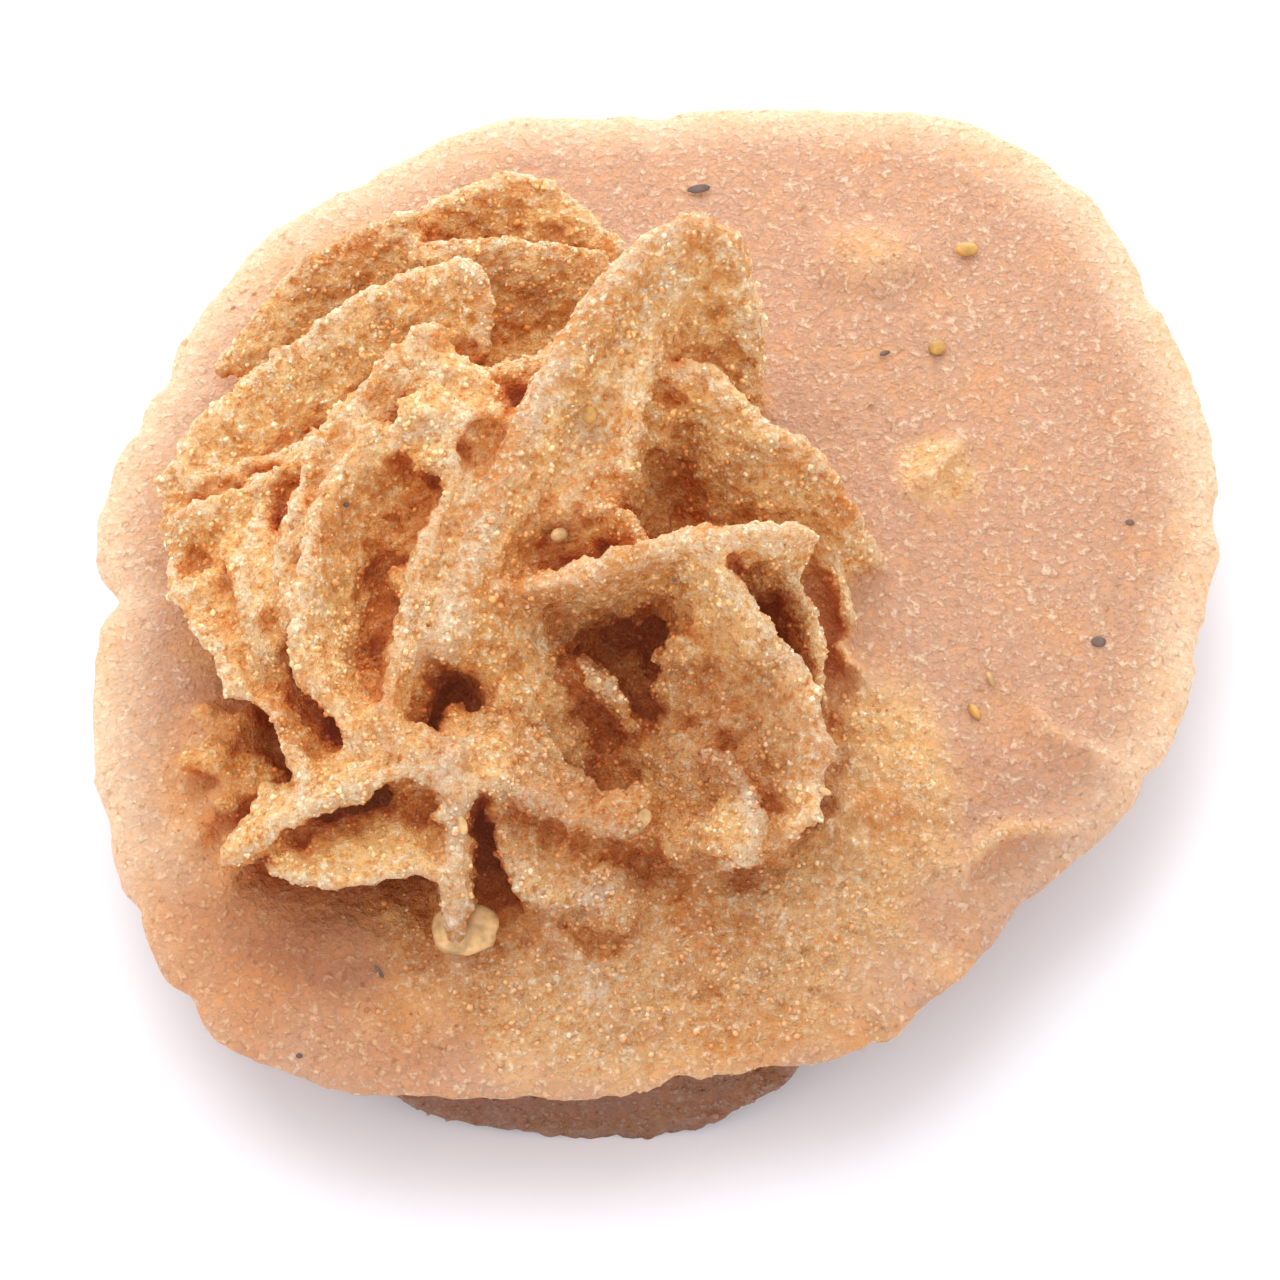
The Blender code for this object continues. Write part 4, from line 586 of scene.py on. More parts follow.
def pointMasks(p, crests):
    # sand: how crusty the place is; band: bare crystal along a crest; the rim mask: a painted glow
    # near the disc's rim, none at the front; crest: pale crumbs; the next two: painted shade in
    # patches, and painted shade mixed with stain in patches over random stain; the belly mask:
    # painted shade low down; patch: warm mottling
    tree, marks = crests
    at, i, away = tree.find(p)
    half, bare = marks[i][1:]
    angle = math.atan2(p.y, p.x)
    share = math.hypot(p.x, p.y) / rimRadius(angle)
    ground, extra = maskShares["belly"]
    sandy = ground + extra * span("belly", p.z) * span("bellyNoise", wave("belly", p))
    if p.z > maskSpans["belly"][0]:
        sandy = inPatches("sandy", p, sandyPatches)
    sand = max(span("above", p.z - discTop(min(share, 0.999))), sandy)
    least, middling = maskShares["band"]
    low, high = [half * reach for reach in maskSpans["band"]]
    band = bare * ease(low, high, away) * min(1.0, least + (middling + wave("band", p)))
    crest = span("crest", away - half) * span("crestNoise", wave("crest", p))
    least, more = maskShares["broad"]
    broad = span("broad", wave("broad", p) + wave("broadFine", p))
    return dict(sand=sand, band=band, paintedRimGlow=span("paintedRimGlow", share) * span("front", math.sin(angle)),
                crest=crest * span("crestSand", sand), paintedShade=inPatches("shadePatchEdge", p, paintedShadePatches),
                amber=max(inPatches("shadePatchEdge", p, shadeAndStainPatches), (least + more * sand) * broad),
                under=span("under", p.z),
                patch=span("patch", wave("patch", p) + wave("patchFine", p)))


def paintMasks(mesh):
    crests = crestTree()
    found = [pointMasks(vert.co, crests) for vert in mesh.vertices]
    for name in found[0]:
        values = [masks[name] for masks in found]
        mesh.attributes.new(name, "FLOAT", "POINT").data.foreach_set("value", values)


def openTree(name, kind, inputs, outputs):
    # an empty node tree with its named inputs and outputs
    tree = bpy.data.node_groups.new(name, kind)
    for sockets, way in ((inputs, "INPUT"), (outputs, "OUTPUT")):
        for label, socket in sockets.items():
            tree.interface.new_socket(label, in_out=way, socket_type="NodeSocket" + socket)
    return tree, tree.nodes.new("NodeGroupInput"), tree.nodes.new("NodeGroupOutput")


def shapeTree(name, inputs):
    return openTree(name, "GeometryNodeTree", dict(Geometry="Geometry") | inputs,
                    dict(Geometry="Geometry"))


def addNode(tree, kind, sockets, **settings):
    # a node with its settings; a socket, by name or number, takes a value or (node, output)
    made = tree.nodes.new(kind)
    for key, value in settings.items():
        setattr(made, key, value)
    for key, value in sockets.items():
        if isinstance(value, tuple) and isinstance(value[0], bpy.types.Node):
            wire(tree, value, made, key)
        else:
            made.inputs[key].default_value = value
    return made


def wire(tree, source, node, socket):
    tree.links.new(source[0].outputs[source[1]], node.inputs[socket])


def useTree(obj, tree, values):
    # the tree as a modifier, with its inputs set by the sockets' identifiers
    change = obj.modifiers.new(tree.name, "NODES")
    change.node_group = tree
    for item in tree.interface.items_tree:
        if item.item_type == "SOCKET" and item.in_out == "INPUT" and item.name in values:
            change[item.identifier] = values[item.name]


def calc(tree, how, a, b):
    # one sum on two numbers, each a value or (node, output)
    return addNode(tree, "ShaderNodeMath", {0: a, 1: b}, operation=how), 0


def times(tree, a, b):
    return calc(tree, "MULTIPLY", a, b)


def addUp(tree, a, b):
    return addNode(tree, "ShaderNodeVectorMath", {0: a, 1: b}, operation="ADD"), 0


def scaled(tree, vector, factor):
    return addNode(tree, "ShaderNodeVectorMath", {0: vector, 3: factor}, operation="SCALE"), 0


def named(tree, label):
    return addNode(tree, "GeometryNodeInputNamedAttribute", {"Name": label}, data_type="FLOAT"), 0


def onSkin(tree, kind):
    return addNode(tree, "GeometryNodeInput" + kind, {}), 0


def crustRelief():
    # pushes the skin along its normal: soft lumps, clods and grain-sized domes, less where bare
    tree, start, end = shapeTree("crustRelief", {label: "Float" for label in relief})
    place, facing = onSkin(tree, "Position"), onSkin(tree, "Normal")
    sand, band = named(tree, "sand"), named(tree, "band")
    bare = calc(tree, "SUBTRACT", 1.0, times(tree, band, (start, "Bare Share")))
    share = addNode(tree, "ShaderNodeMix", {"Factor": sand, "A": (start, "Disc Share"), "B": 1.0},
                    data_type="FLOAT")
    total = None
    for label in ("Lump", "Clod"):
        scale = calc(tree, "DIVIDE", 1.0, (start, label + " Size"))
        rough = addNode(tree, "ShaderNodeTexNoise", {"Vector": place, "Scale": scale} | reliefNoise)
        push = times(tree, calc(tree, "SUBTRACT", (rough, 0), 0.5), (start, label + " Height"))
        total = push if total is None else calc(tree, "ADD", total, push)
    scale = calc(tree, "DIVIDE", 1.0, (start, "Grain Size"))
    bend = addNode(tree, "ShaderNodeTexNoise", {"Vector": place} | bendNoise)
    bent = addUp(tree, place, scaled(tree, (bend, "Color"), (start, "Bend")))
    cells = addNode(tree, "ShaderNodeTexVoronoi", {"Vector": bent, "Scale": scale})
    dome = times(tree, calc(tree, "SUBTRACT", 0.5, (cells, 0)), (start, "Grain Height"))
    total = calc(tree, "ADD", total, dome)
    total = times(tree, times(tree, total, bare), (share, 0))
    moved = addNode(tree, "GeometryNodeSetPosition", {
        "Geometry": (start, 0), "Offset": scaled(tree, facing, total)})
    wire(tree, (moved, 0), end, 0)
    return tree


# Rays cast round each point's normal: how many, and how far off the skin and how wide they start.
hollowRays = dict(count=16, lift=0.06, width=0.95, blur=2)


def hollowDepth():
    # how deep in a hollow each point lies: its rays, counted where they hit, the near ones more
    tree, start, end = shapeTree("hollowDepth", dict(Reach="Float"))
    place, facing = onSkin(tree, "Position"), onSkin(tree, "Normal")
    origin = addUp(tree, place, scaled(tree, facing, hollowRays["lift"] * mm))
    rays = hollowRays["count"]
    total = None
    for k in range(rays):
        height = 1 - 2 * (k + 0.5) / rays
        turn = k * math.pi * (3 - math.sqrt(5))
        flat = math.sqrt(1 - height * height)
        way = Vector((flat * math.cos(turn), flat * math.sin(turn), height)) * hollowRays["width"]
        ray = addNode(tree, "GeometryNodeRaycast", {
            "Target Geometry": (start, 0), "Source Position": origin,
            "Ray Direction": addUp(tree, facing, way), "Ray Length": (start, "Reach")})
        far = calc(tree, "DIVIDE", (ray, "Hit Distance"), (start, "Reach"))
        count = times(tree, (ray, "Is Hit"), calc(tree, "SUBTRACT", 1.0, far))
        total = count if total is None else calc(tree, "ADD", total, count)
    soft = addNode(tree, "GeometryNodeBlurAttribute", {
        "Value": calc(tree, "DIVIDE", total, float(rays)), "Iterations": hollowRays["blur"]})
    kept = addNode(tree, "GeometryNodeStoreNamedAttribute", {
        "Geometry": (start, 0), "Name": "hollow", "Value": (soft, 0)}, data_type="FLOAT",
        domain="POINT")
    wire(tree, (kept, 0), end, 0)
    return tree


def cutBase(mesh):
    # flat where it stands
    bm = bmesh.new()
    bm.from_mesh(mesh)
    cut = bmesh.ops.bisect_plane(bm, geom=bm.verts[:] + bm.edges[:] + bm.faces[:], dist=1e-5,
                                 plane_co=(0, 0, 0), plane_no=(0, 0, 1), clear_inner=True)
    edges = [e for e in cut["geom_cut"] if isinstance(e, bmesh.types.BMEdge)]
    bmesh.ops.holes_fill(bm, edges=edges, sides=0)
    bmesh.ops.triangulate(bm, faces=bm.faces[:])
    bmesh.ops.recalc_face_normals(bm, faces=bm.faces)
    bm.to_mesh(mesh)
    bm.free()


def toCad(mesh):
    # from the disc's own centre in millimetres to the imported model's frame in metres
    spots = [vert.co for vert in mesh.vertices]
    middle = [(min(p[k] for p in spots) + max(p[k] for p in spots)) / 2 for k in (0, 1)]
    middle = Vector(middle + [0])
    shift = (cadLow + cadHigh) / 2
    shift.z = cadLow.z
    for vert in mesh.vertices:
        vert.co = (vert.co - middle) * mm + shift
    return shift - middle * mm


def smoothed(mesh):
    for face in mesh.polygons:
        face.use_smooth = True


def makeRose():
    rose = newObject("sandRose", growForm())
    voxelSkin(rose, crust["skinVoxel"])
    applied(rose)
    addClods(rose)
    joinForm(rose)
    print("joined skin:", len(rose.data.polygons), "faces")
    paintMasks(rose.data)
    useTree(rose, crustRelief(), relief)
    applied(rose)
    thin = rose.modifiers.new("thin", "DECIMATE")
    thin.ratio = crust["triangles"] / (2 * len(rose.data.polygons))
    applied(rose)
    cutBase(rose.data)
    move = toCad(rose.data)
    useTree(rose, hollowDepth(), {"Reach": crust["hollowReach"] * mm})
    applied(rose)
    smoothed(rose.data)
    print("rose:", len(rose.data.polygons), "triangles")
    return rose, move


# Colours of the stone and its sand in linear light, and how its light spreads. Among them are a
# painted rim glow and the tones of painted shade in patches (some mixed with stain), on the belly
# and in the gaps between grains.
finish = dict(
    honey=(0.90, 0.565, 0.24, 1), amber=(0.70, 0.31, 0.085, 1), cream=(0.96, 0.81, 0.56, 1),
    peach=(0.50, 0.277, 0.172, 1), bandTone=(0.76, 0.535, 0.34, 1), glow=(0.95, 0.74, 0.50, 1),
    gapShadeTone=(0.66, 0.47, 0.32, 1), paintedShadeTone=(0.74, 0.69, 0.75, 1), shadeAndStainTone=(0.90, 0.71, 0.53, 1),
    under=(0.36, 0.28, 0.32, 1), glowShare=0.6, creamShare=0.75, radii=(1.0, 0.46, 0.20),
    specular=0.35, subsurface=0.50, depth=1.0, bump=0.27, glintTones=(0.85, 1.0),
    glintRoughness=0.2)
# Painted shade that a hollow puts on a colour, and a faint painted glow added there, by its depth.
shadeStops = [(0.10, (1, 1, 1, 1)), (0.25, (0.98, 0.84, 0.66, 1)), (0.42, (0.80, 0.44, 0.24, 1)),
              (0.66, (0.45, 0.13, 0.06, 1))]
paintedGlowStops = [(0.38, (0, 0, 0, 1)), (0.75, (0.055, 0.015, 0.007, 1))]
# Mottling and grains seen in the skin. Noise scales are to a millimetre; a span is of the noise,
# and where it has more than two numbers the others are what it gives.
mottling = dict(
    grit=(3.4, 3.0), fine=(7.0, 2.0), patchShare=0.60, warm=(0.49, 0.33), pale=(0.53, 0.67),
    grainSize=0.23, bend=0.35, bendScale=3.0, seen=(0.44, 0.60), gapShade=(0.5, 0.9),
    tint=(0.93, 1.08), domeTop=0.7, domeShare=0.5, fineShare=0.9, gritShare=2.0,
    glint=(0.93, 0.96, 0.65, 0.22), sandy=(0.3, 1.0, 0.36))


def mixColor(tree, share, first, second, blend="MIX"):
    return addNode(tree, "ShaderNodeMix", {0: share, 6: first, 7: second}, data_type="RGBA",
                   blend_type=blend), 2


def spread(tree, value, low, high, start=0.0, end=1.0):
    return addNode(tree, "ShaderNodeMapRange", {
        "Value": value, "From Min": low, "From Max": high, "To Min": start, "To Max": end}), 0


def addedNoise(tree, place, scale, detail):
    return addNode(tree, "ShaderNodeTexNoise", {
        "Vector": place, "Scale": scale, "Detail": detail, "Roughness": 0.6}), 0


def inMillimetres(tree):
    where = addNode(tree, "ShaderNodeTexCoord", {}), "Object"
    return scaled(tree, where, 1 / mm)


def colorRamp(tree, value, stops):
    ramp = addNode(tree, "ShaderNodeValToRGB", {"Fac": value})
    while len(ramp.color_ramp.elements) < len(stops):
        ramp.color_ramp.elements.new(0.5)
    for element, (position, color) in zip(ramp.color_ramp.elements, stops):
        element.position, element.color = position, color
    return ramp, 0


def shadeGroup():
    # painted shade: deep places turn amber, then red-brown, and get a faint painted glow
    tree, start, end = openTree("paintedHollowShade", "ShaderNodeTree", dict(Color="Color", Hollow="Float"),
                                dict(Color="Color", PaintedGlow="Color"))
    shade = colorRamp(tree, (start, "Hollow"), shadeStops)
    wire(tree, mixColor(tree, 1.0, (start, "Color"), shade, "MULTIPLY"), end, "Color")
    wire(tree, colorRamp(tree, (start, "Hollow"), paintedGlowStops), end, "PaintedGlow")
    return tree


def mottleGroup():
    # sand bound in crystal, from afar: warm patches and pale grit
    tree, start, end = openTree("mottle", "ShaderNodeTree", dict(
        Ground="Color", Amber="Color", Cream="Color", Patch="Float", Variation="Float"),
        dict(Color="Color", Grit="Float"))
    vary = start, "Variation"
    grit = addedNoise(tree, inMillimetres(tree), *mottling["grit"])
    warm = calc(tree, "ADD", times(tree, (start, "Patch"), mottling["patchShare"]),
                spread(tree, grit, *mottling["warm"]))
    color = mixColor(tree, times(tree, warm, vary), (start, "Ground"), (start, "Amber"))
    light = spread(tree, grit, *mottling["pale"])
    wire(tree, mixColor(tree, times(tree, light, vary), color, (start, "Cream")), end, "Color")
    wire(tree, grit, end, "Grit")
    return tree


def grainGroup():
    # the single grains seen in the skin: a tint and a height to each, painted shade in the gaps
    # between them, and their gloss
    tree, start, end = openTree("grainFinish", "ShaderNodeTree", dict(
        Color="Color", Grit="Float", Variation="Float"), dict(
        Color="Color", Height="Float", Roughness="Float"))
    place = inMillimetres(tree)
    bend = addNode(tree, "ShaderNodeTexNoise", {
        "Vector": place, "Scale": mottling["bendScale"], "Detail": 0.0})
    bent = addUp(tree, place, scaled(tree, (bend, "Color"), mottling["bend"]))
    cells = addNode(tree, "ShaderNodeTexVoronoi", {
        "Vector": bent, "Scale": 1 / mottling["grainSize"]})
    away = cells, "Distance"
    split = addNode(tree, "ShaderNodeSeparateColor", {"Color": (cells, "Color")})
    seen = spread(tree, (start, "Grit"), *mottling["seen"])
    # painted shade in the gaps between grains
    gapShade = times(tree, spread(tree, away, *mottling["gapShade"]), seen)
    color = mixColor(tree, gapShade, (start, "Color"), finish["gapShadeTone"], "MULTIPLY")
    tint = spread(tree, (split, 2), 0.0, 1.0, *mottling["tint"])
    wire(tree, scaled(tree, color, tint), end, "Color")
    dome = times(tree, calc(tree, "SUBTRACT", mottling["domeTop"], away), mottling["domeShare"])
    fine = times(tree, addedNoise(tree, place, *mottling["fine"]), mottling["fineShare"])
    height = calc(tree, "ADD", calc(tree, "ADD", times(tree, dome, seen), fine),
                  times(tree, (start, "Grit"), mottling["gritShare"]))
    wire(tree, times(tree, height, (start, "Variation")), end, "Height")
    wire(tree, spread(tree, (split, 1), *mottling["glint"]), end, "Roughness")
    return tree


def attribute(tree, label):
    return addNode(tree, "ShaderNodeAttribute", {}, attribute_name=label), "Fac"


def principled(name, subsurface, depth):
    material = bpy.data.materials.new(name)
    material.use_nodes = True
    material.cycles.emission_sampling = "NONE"
    tree = material.node_tree
    shader = tree.nodes["Principled BSDF"]
    shader.subsurface_method = "BURLEY"
    shader.inputs["Subsurface Weight"].default_value = subsurface
    shader.inputs["Subsurface Radius"].default_value = finish["radii"]
    shader.inputs["Subsurface Scale"].default_value = depth
    shader.inputs["Specular IOR Level"].default_value = finish["specular"]
    return material, tree, shader


def stoneColor(tree, shader, mottle, deep):
    # peach on the smooth disc, honey where sand is thick, cream along crests, a painted glow along
    # the thin rim
    sand, band, paintedRimGlow, crest, paintedShade, amber, under = [attribute(tree, label) for label in (
        "sand", "band", "paintedRimGlow", "crest", "paintedShade", "amber", "under")]
    ground = mixColor(tree, sand, finish["peach"], finish["honey"])
    # painted glow along the thin rim, none at the front
    ground = mixColor(tree, times(tree, paintedRimGlow, finish["glowShare"]), ground, finish["glow"])
    ground = mixColor(tree, times(tree, crest, finish["creamShare"]), ground, finish["cream"])
    ground = mixColor(tree, band, ground, finish["bandTone"])
    vary = spread(tree, sand, *mottling["sandy"])
    look = addNode(tree, "ShaderNodeGroup", {
        "Ground": ground, "Amber": finish["amber"], "Cream": finish["cream"],
        "Patch": attribute(tree, "patch"), "Variation": vary}, node_tree=mottle)
    # painted shade in patches
    color = mixColor(tree, paintedShade, (look, "Color"), finish["paintedShadeTone"], "MULTIPLY")
    # painted shade mixed with stain in patches, over random stain
    color = mixColor(tree, amber, color, finish["shadeAndStainTone"], "MULTIPLY")
    # painted shade on the belly and low down
    color = mixColor(tree, under, color, finish["under"], "MULTIPLY")
    tone = addNode(tree, "ShaderNodeGroup", {
        "Color": color, "Hollow": attribute(tree, "hollow")}, node_tree=deep)
    # a faint painted glow in the hollows, given off as emission
    wire(tree, (tone, "PaintedGlow"), shader, "Emission Color")
    shader.inputs["Emission Strength"].default_value = 1.0
    return (tone, "Color"), (look, "Grit"), vary


def stoneMaterial(mottle, deep, grainy):
    material, tree, shader = principled("sandyGypsum", finish["subsurface"], finish["depth"] * mm)
    color, grit, vary = stoneColor(tree, shader, mottle, deep)
    look = addNode(tree, "ShaderNodeGroup", {"Color": color, "Grit": grit, "Variation": vary},
                   node_tree=grainy)
    wire(tree, (look, "Color"), shader, "Base Color")
    wire(tree, (look, "Roughness"), shader, "Roughness")
    bump = addNode(tree, "ShaderNodeBump", {
        "Strength": 1.0, "Distance": finish["bump"] * mm, "Height": (look, "Height")})
    wire(tree, (bump, 0), shader, "Normal")
    return material


def grainMaterial(coat, mottle, deep):
    # bound grains take the colour of the stone they sit in, each a little darker or paler
    material, tree, shader = principled(coat["name"], 0.0, finish["depth"] * mm)
    color = stoneColor(tree, shader, mottle, deep)[0]
    tone = attribute(tree, "tone")
    last = len(coat["tones"]) - 1
    own = colorRamp(tree, tone, [(k / last, tint) for k, tint in enumerate(coat["tones"])])
    wire(tree, mixColor(tree, 1.0, color, own, "MULTIPLY"), shader, "Base Color")
    rough = spread(tree, tone, *finish["glintTones"], coat["roughness"], finish["glintRoughness"])
    wire(tree, rough, shader, "Roughness")
    return material


# How grains are strewn: heights in millimetres, sizes and depths in shares of the grain.
strewing = dict(lowest=0.25, patchScale=450.0, patches=(0.35, 0.62, 0.35, 1.2), bareShare=0.7,
                squash=(0.7, 1.15), turn=6.283, sink=(-0.42, -0.06))


def randomNumber(tree, low, high, seed):
    return addNode(tree, "FunctionNodeRandomValue", {2: low, 3: high, "Seed": seed},
                   data_type="FLOAT"), 1


def randomVector(tree, low, high, seed):
    return addNode(tree, "FunctionNodeRandomValue", {
        0: (low,) * 3, 1: (high,) * 3, "Seed": seed}, data_type="FLOAT_VECTOR"), 0


def grainCoat():
    # sand grains over the skin, denser where it is sandy, none on bare crystal or under the base
    tree, start, end = shapeTree("grainCoat", dict(
        Density="Float", Smallest="Float", Largest="Float", Seed="Int", Sides="Int",
        Material="Material"))
    place = onSkin(tree, "Position")
    height = addNode(tree, "ShaderNodeSeparateXYZ", {"Vector": place}), "Z"
    clear = addNode(tree, "FunctionNodeCompare", {0: height, 1: strewing["lowest"] * mm},
                    data_type="FLOAT", operation="GREATER_THAN")
    patches = addNode(tree, "ShaderNodeTexNoise", {
        "Vector": place, "Scale": strewing["patchScale"], "Detail": 2.0}), 0
    bare = calc(tree, "SUBTRACT", 1.0, times(tree, named(tree, "band"), strewing["bareShare"]))
    thick = times(tree, times(tree, named(tree, "sand"), bare),
                  spread(tree, patches, *strewing["patches"]))
    strewn = addNode(tree, "GeometryNodeDistributePointsOnFaces", {
        "Mesh": (start, 0), "Selection": (clear, 0), "Seed": (start, "Seed"),
        "Density": times(tree, thick, (start, "Density"))})
    ball = addNode(tree, "GeometryNodeMeshUVSphere", {
        "Segments": (start, "Sides"), "Rings": 3, "Radius": 0.5})
    size = randomNumber(tree, (start, "Smallest"), (start, "Largest"), 3)
    squash = randomVector(tree, *strewing["squash"], 5)
    turn = randomVector(tree, 0, strewing["turn"], 7)
    angles = addNode(tree, "FunctionNodeEulerToRotation", {0: turn})
    sink = randomNumber(tree, *strewing["sink"], 9)
    sunk = addNode(tree, "GeometryNodeSetPosition", {
        "Geometry": (strewn, 0),
        "Offset": scaled(tree, (strewn, "Normal"), times(tree, sink, size))})
    copies = addNode(tree, "GeometryNodeInstanceOnPoints", {
        "Points": (sunk, 0), "Instance": (ball, 0), "Rotation": (angles, 0),
        "Scale": scaled(tree, squash, size)})
    toned = addNode(tree, "GeometryNodeStoreNamedAttribute", {
        "Geometry": (copies, 0), "Name": "tone", "Value": randomNumber(tree, 0, 1, 11)},
        data_type="FLOAT", domain="INSTANCE")
    real = addNode(tree, "GeometryNodeRealizeInstances", {"Geometry": (toned, 0)})
    smooth = addNode(tree, "GeometryNodeSetShadeSmooth", {"Geometry": (real, 0)})
    painted = addNode(tree, "GeometryNodeSetMaterial", {
        "Geometry": (smooth, 0), "Material": (start, "Material")})
    wire(tree, (painted, 0), end, 0)
    return tree


def onRose(piece):
    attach(piece, "root")
    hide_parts("sand_rose")


# The sand bound in the skin: grains to a square millimetre, sizes in millimetres, and the tints
# that take a grain from darker to paler than the stone round it.
coats = [
    dict(name="coarseGrains", density=4.0, smallest=0.20, largest=0.32, sides=5, seed=1,
         roughness=0.5, tones=[(0.70, 0.54, 0.39, 1), (1.06, 1.04, 1.0, 1), (1.20, 1.27, 1.34, 1)]),
    dict(name="mediumGrains", density=5.5, smallest=0.17, largest=0.26, sides=4, seed=2,
         roughness=0.5, tones=[(0.66, 0.48, 0.33, 1), (1.06, 1.04, 1.0, 1), (1.20, 1.29, 1.40, 1)]),
    dict(name="fineGrains", density=5.3, smallest=0.14, largest=0.21, sides=4, seed=3,
         roughness=0.45, tones=[(0.60, 0.43, 0.29, 1), (1.06, 1.04, 1.0, 1), (1.22, 1.33, 1.48, 1)])]

# Single grains and crystals in the crust: middle, radii, and a turn about the upright in degrees.
crystals = dict(
    clearLens=[
        ((-6.75, -13.9, 6.95), (1.2, 1, 0.46), 10), ((-1.05, -10.7, 9.05), (0.8, 0.55, 0.36), 20),
        ((-6.75, -11.6, 10.35), (0.17, 0.36, 0.14), 15),
        ((-8.3, -12.1, 8.65), (0.75, 0.36, 0.14), -8),
        ((-3.5, -0.9, 11.55), (0.32, 0.26, 0.22), 25), ((3.2, -7, 9.1), (0.18, 0.16, 0.14), 0),
        ((5.7, -9.9, 9.6), (0.12, 0.24, 0.1), 60), ((11.7, -3.9, 6.45), (0.12, 0.3, 0.12), 20)],
    goldGrain=[
        ((-2.45, 3, 13.15), (0.26, 0.34, 0.2), 0), ((11.3, 13.9, 6.45), (0.42, 0.3, 0.14), 0),
        ((10.1, 9.6, 6.65), (0.34, 0.3, 0.14), 30), ((11.1, -5.2, 6.5), (0.34, 0.16, 0.16), 120),
        ((-4.2, -8.9, 8.9), (0.24, 0.2, 0.18), 0), ((-11.6, 0.2, 12), (0.16, 0.16, 0.12), 0)],
    darkSpeck=[
        ((8.2, 9.3, 6.75), (0.2, 0.1, 0.06), 20), ((15.6, -2.2, 6.1), (0.26, 0.22, 0.05), 0),
        ((1.5, 16.6, 6.3), (0.42, 0.18, 0.05), 10), ((16.9, 2.7, 6), (0.16, 0.12, 0.05), 0),
        ((-9.7, -15.1, 6.1), (0.3, 0.07, 0.06), 125), ((-12.4, -18, 5.45), (0.12, 0.1, 0.06), 0),
        ((-10.9, -0.1, 12.3), (0.11, 0.09, 0.07), 0), ((0.5, -3.4, 12.9), (0.08, 0.08, 0.05), 0)])
crystalLooks = dict(
    clearLens=dict(color=(0.70, 0.42, 0.18, 1), roughness=0.3, subsurface=0.2),
    goldGrain=dict(color=(0.62, 0.33, 0.08, 1), roughness=0.35, subsurface=0.1),
    darkSpeck=dict(color=(0.17, 0.11, 0.09, 1), roughness=0.7, subsurface=0.0))
crystalShape = dict(swell=0.12, swellScale=1.8, depth=0.5, cloud=(0.35, 0.7), cloudScale=2.5,
                    cloudDetail=4.0, cloudShade=0.55)


def crystalPiece(name, spots, move):
    # rounded crystals, each a flattened ball with a slightly lumpy face, part sunk in the crust
    bm = bmesh.new()
    for middle, radii, turn in spots:
        made = bmesh.ops.create_icosphere(bm, subdivisions=3, radius=1.0)
        spin = Matrix.Rotation(math.radians(turn), 3, "Z")
        for vert in made["verts"]:
            lumpy = noise.noise(vert.co * crystalShape["swellScale"] + Vector(middle))
            swell = 1 + crystalShape["swell"] * lumpy
            flat = Vector([c * r * swell for c, r in zip(vert.co, radii)])
            vert.co = (Vector(middle) + spin @ flat) * mm + move
    mesh = bpy.data.meshes.new(name)
    bm.to_mesh(mesh)
    bm.free()
    smoothed(mesh)
    look = crystalLooks[name]
    material, tree, shader = principled(name, look["subsurface"], crystalShape["depth"] * mm)
    cloud = addNode(tree, "ShaderNodeTexNoise", {
        "Vector": inMillimetres(tree), "Scale": crystalShape["cloudScale"],
        "Detail": crystalShape["cloudDetail"]}), 0
    cloudy = [crystalShape["cloudShade"] * c for c in look["color"][:3]] + [1]
    wire(tree, mixColor(tree, spread(tree, cloud, *crystalShape["cloud"]), look["color"], cloudy),
         shader, "Base Color")
    shader.inputs["Roughness"].default_value = look["roughness"]
    mesh.materials.append(material)
    return newObject(name, mesh)


rose, move = makeRose()
mottle, deep = mottleGroup(), shadeGroup()
rose.data.materials.append(stoneMaterial(mottle, deep, grainGroup()))
tree = grainCoat()
pieces = [rose]
for coat in coats:
    piece = newObject(coat["name"], rose.data.copy())
    useTree(piece, tree, {
        "Density": coat["density"] / mm ** 2, "Smallest": coat["smallest"] * mm,
        "Largest": coat["largest"] * mm, "Seed": coat["seed"], "Sides": coat["sides"],
        "Material": grainMaterial(coat, mottle, deep)})
    applied(piece)
    pieces.append(piece)
    count = sum(len(face.vertices) - 2 for face in piece.data.polygons)
    print(coat["name"] + ":", count, "triangles")
pieces += [crystalPiece(name, spots, move) for name, spots in crystals.items()]
for piece in pieces:
    onRose(piece)
print("pieces:", ", ".join(piece.name for piece in pieces))


# Stage: a pale floor, a large soft light behind and above, and light from all round. Sizes and
# places are in millimetres.
stage = dict(floorSize=2400, floorDrop=0.01, floorTone=(0.93, 0.925, 0.97, 1), floorRoughness=0.9,
             keyAt=(-45, 75, 190), keySize=170, keyPower=0.22, backAt=(10, 210, 90), backSize=170,
             backPower=0.28, skyTop=(1.0, 0.99, 0.99, 1), skyRim=(0.96, 0.93, 0.96, 1),
             skyTopPower=0.76, skyRimPower=1.86)
view = dict(elevation=62.0, distance=228.0, width=45.7, target=(-0.68, -1.55, 5.0), sensor=36)


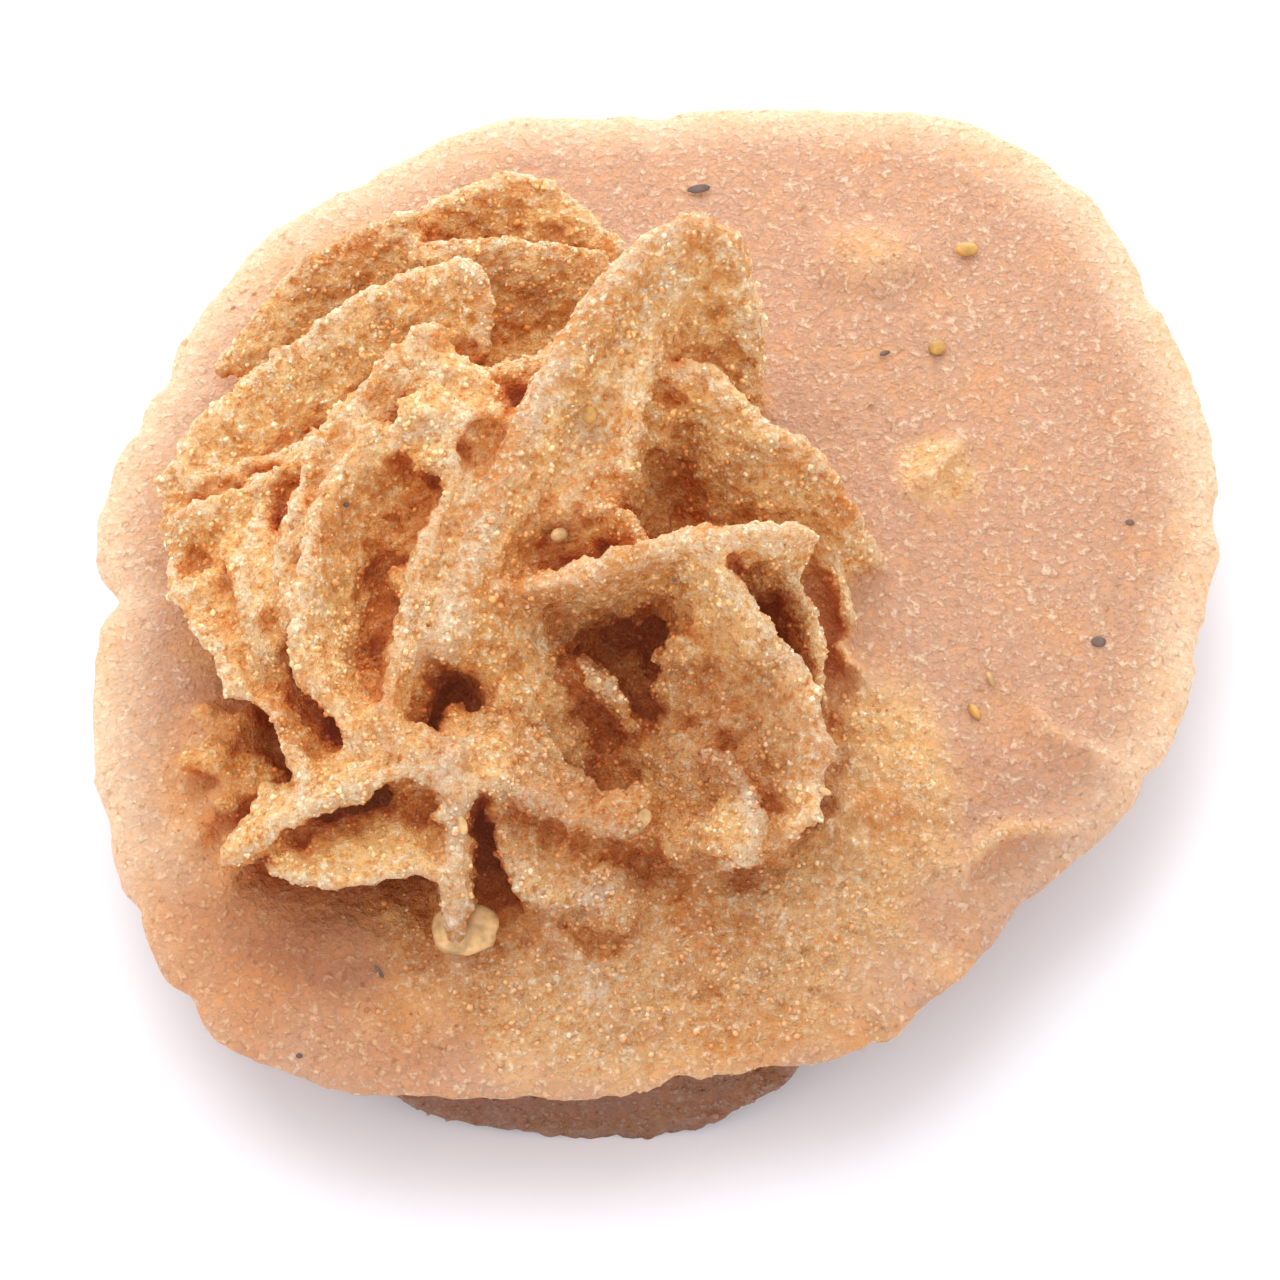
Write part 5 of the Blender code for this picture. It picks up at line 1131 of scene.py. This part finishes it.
def makeFloor():
    bm = bmesh.new()
    bmesh.ops.create_grid(bm, x_segments=1, y_segments=1, size=stage["floorSize"] * mm / 2)
    mesh = bpy.data.meshes.new("floor")
    bm.to_mesh(mesh)
    bm.free()
    floor = newObject("floor", mesh)
    floor.location = (0, 0, cadLow.z - stage["floorDrop"] * mm)
    material = bpy.data.materials.new("palePaper")
    material.use_nodes = True
    shader = material.node_tree.nodes["Principled BSDF"]
    shader.inputs["Base Color"].default_value = stage["floorTone"]
    shader.inputs["Roughness"].default_value = stage["floorRoughness"]
    mesh.materials.append(material)


def makeLights():
    for name in ("key", "back"):
        lamp = bpy.data.lights.new(name, "AREA")
        lamp.size = stage[name + "Size"] * mm
        lamp.energy = stage[name + "Power"]
        light = newObject(name, lamp)
        place = Vector(stage[name + "At"])
        light.location = place * mm
        light.rotation_euler = (-place).to_track_quat("-Z", "Y").to_euler()
    # pale walls all round, brighter than the ceiling
    world = bpy.data.worlds.new("studio")
    bpy.context.scene.world = world
    world.use_nodes = True
    tree = world.node_tree
    way = addNode(tree, "ShaderNodeSeparateXYZ", {
        "Vector": (addNode(tree, "ShaderNodeTexCoord", {}), "Generated")})
    share = spread(tree, (way, "Z"), 0.0, 1.0)
    sky = tree.nodes["Background"]
    wire(tree, mixColor(tree, share, stage["skyRim"], stage["skyTop"]), sky, "Color")
    wire(tree, spread(tree, (way, "Z"), 0.0, 1.0, stage["skyRimPower"], stage["skyTopPower"]),
         sky, "Strength")
    bpy.context.scene.view_settings.view_transform = "Standard"


def makeCamera():
    lens = bpy.data.cameras.new("camera")
    camera = newObject("camera", lens)
    tilt = math.radians(view["elevation"])
    ahead = Vector((0, math.cos(tilt), -math.sin(tilt)))
    camera.location = Vector(view["target"]) * mm + move - ahead * view["distance"] * mm
    camera.rotation_euler = (math.pi / 2 - tilt, 0, 0)
    lens.sensor_width = view["sensor"]
    lens.lens = view["sensor"] * view["distance"] / view["width"]
    lens.clip_start, lens.clip_end = 0.01, 10
    bpy.context.scene.camera = camera


makeFloor()
makeLights()
makeCamera()
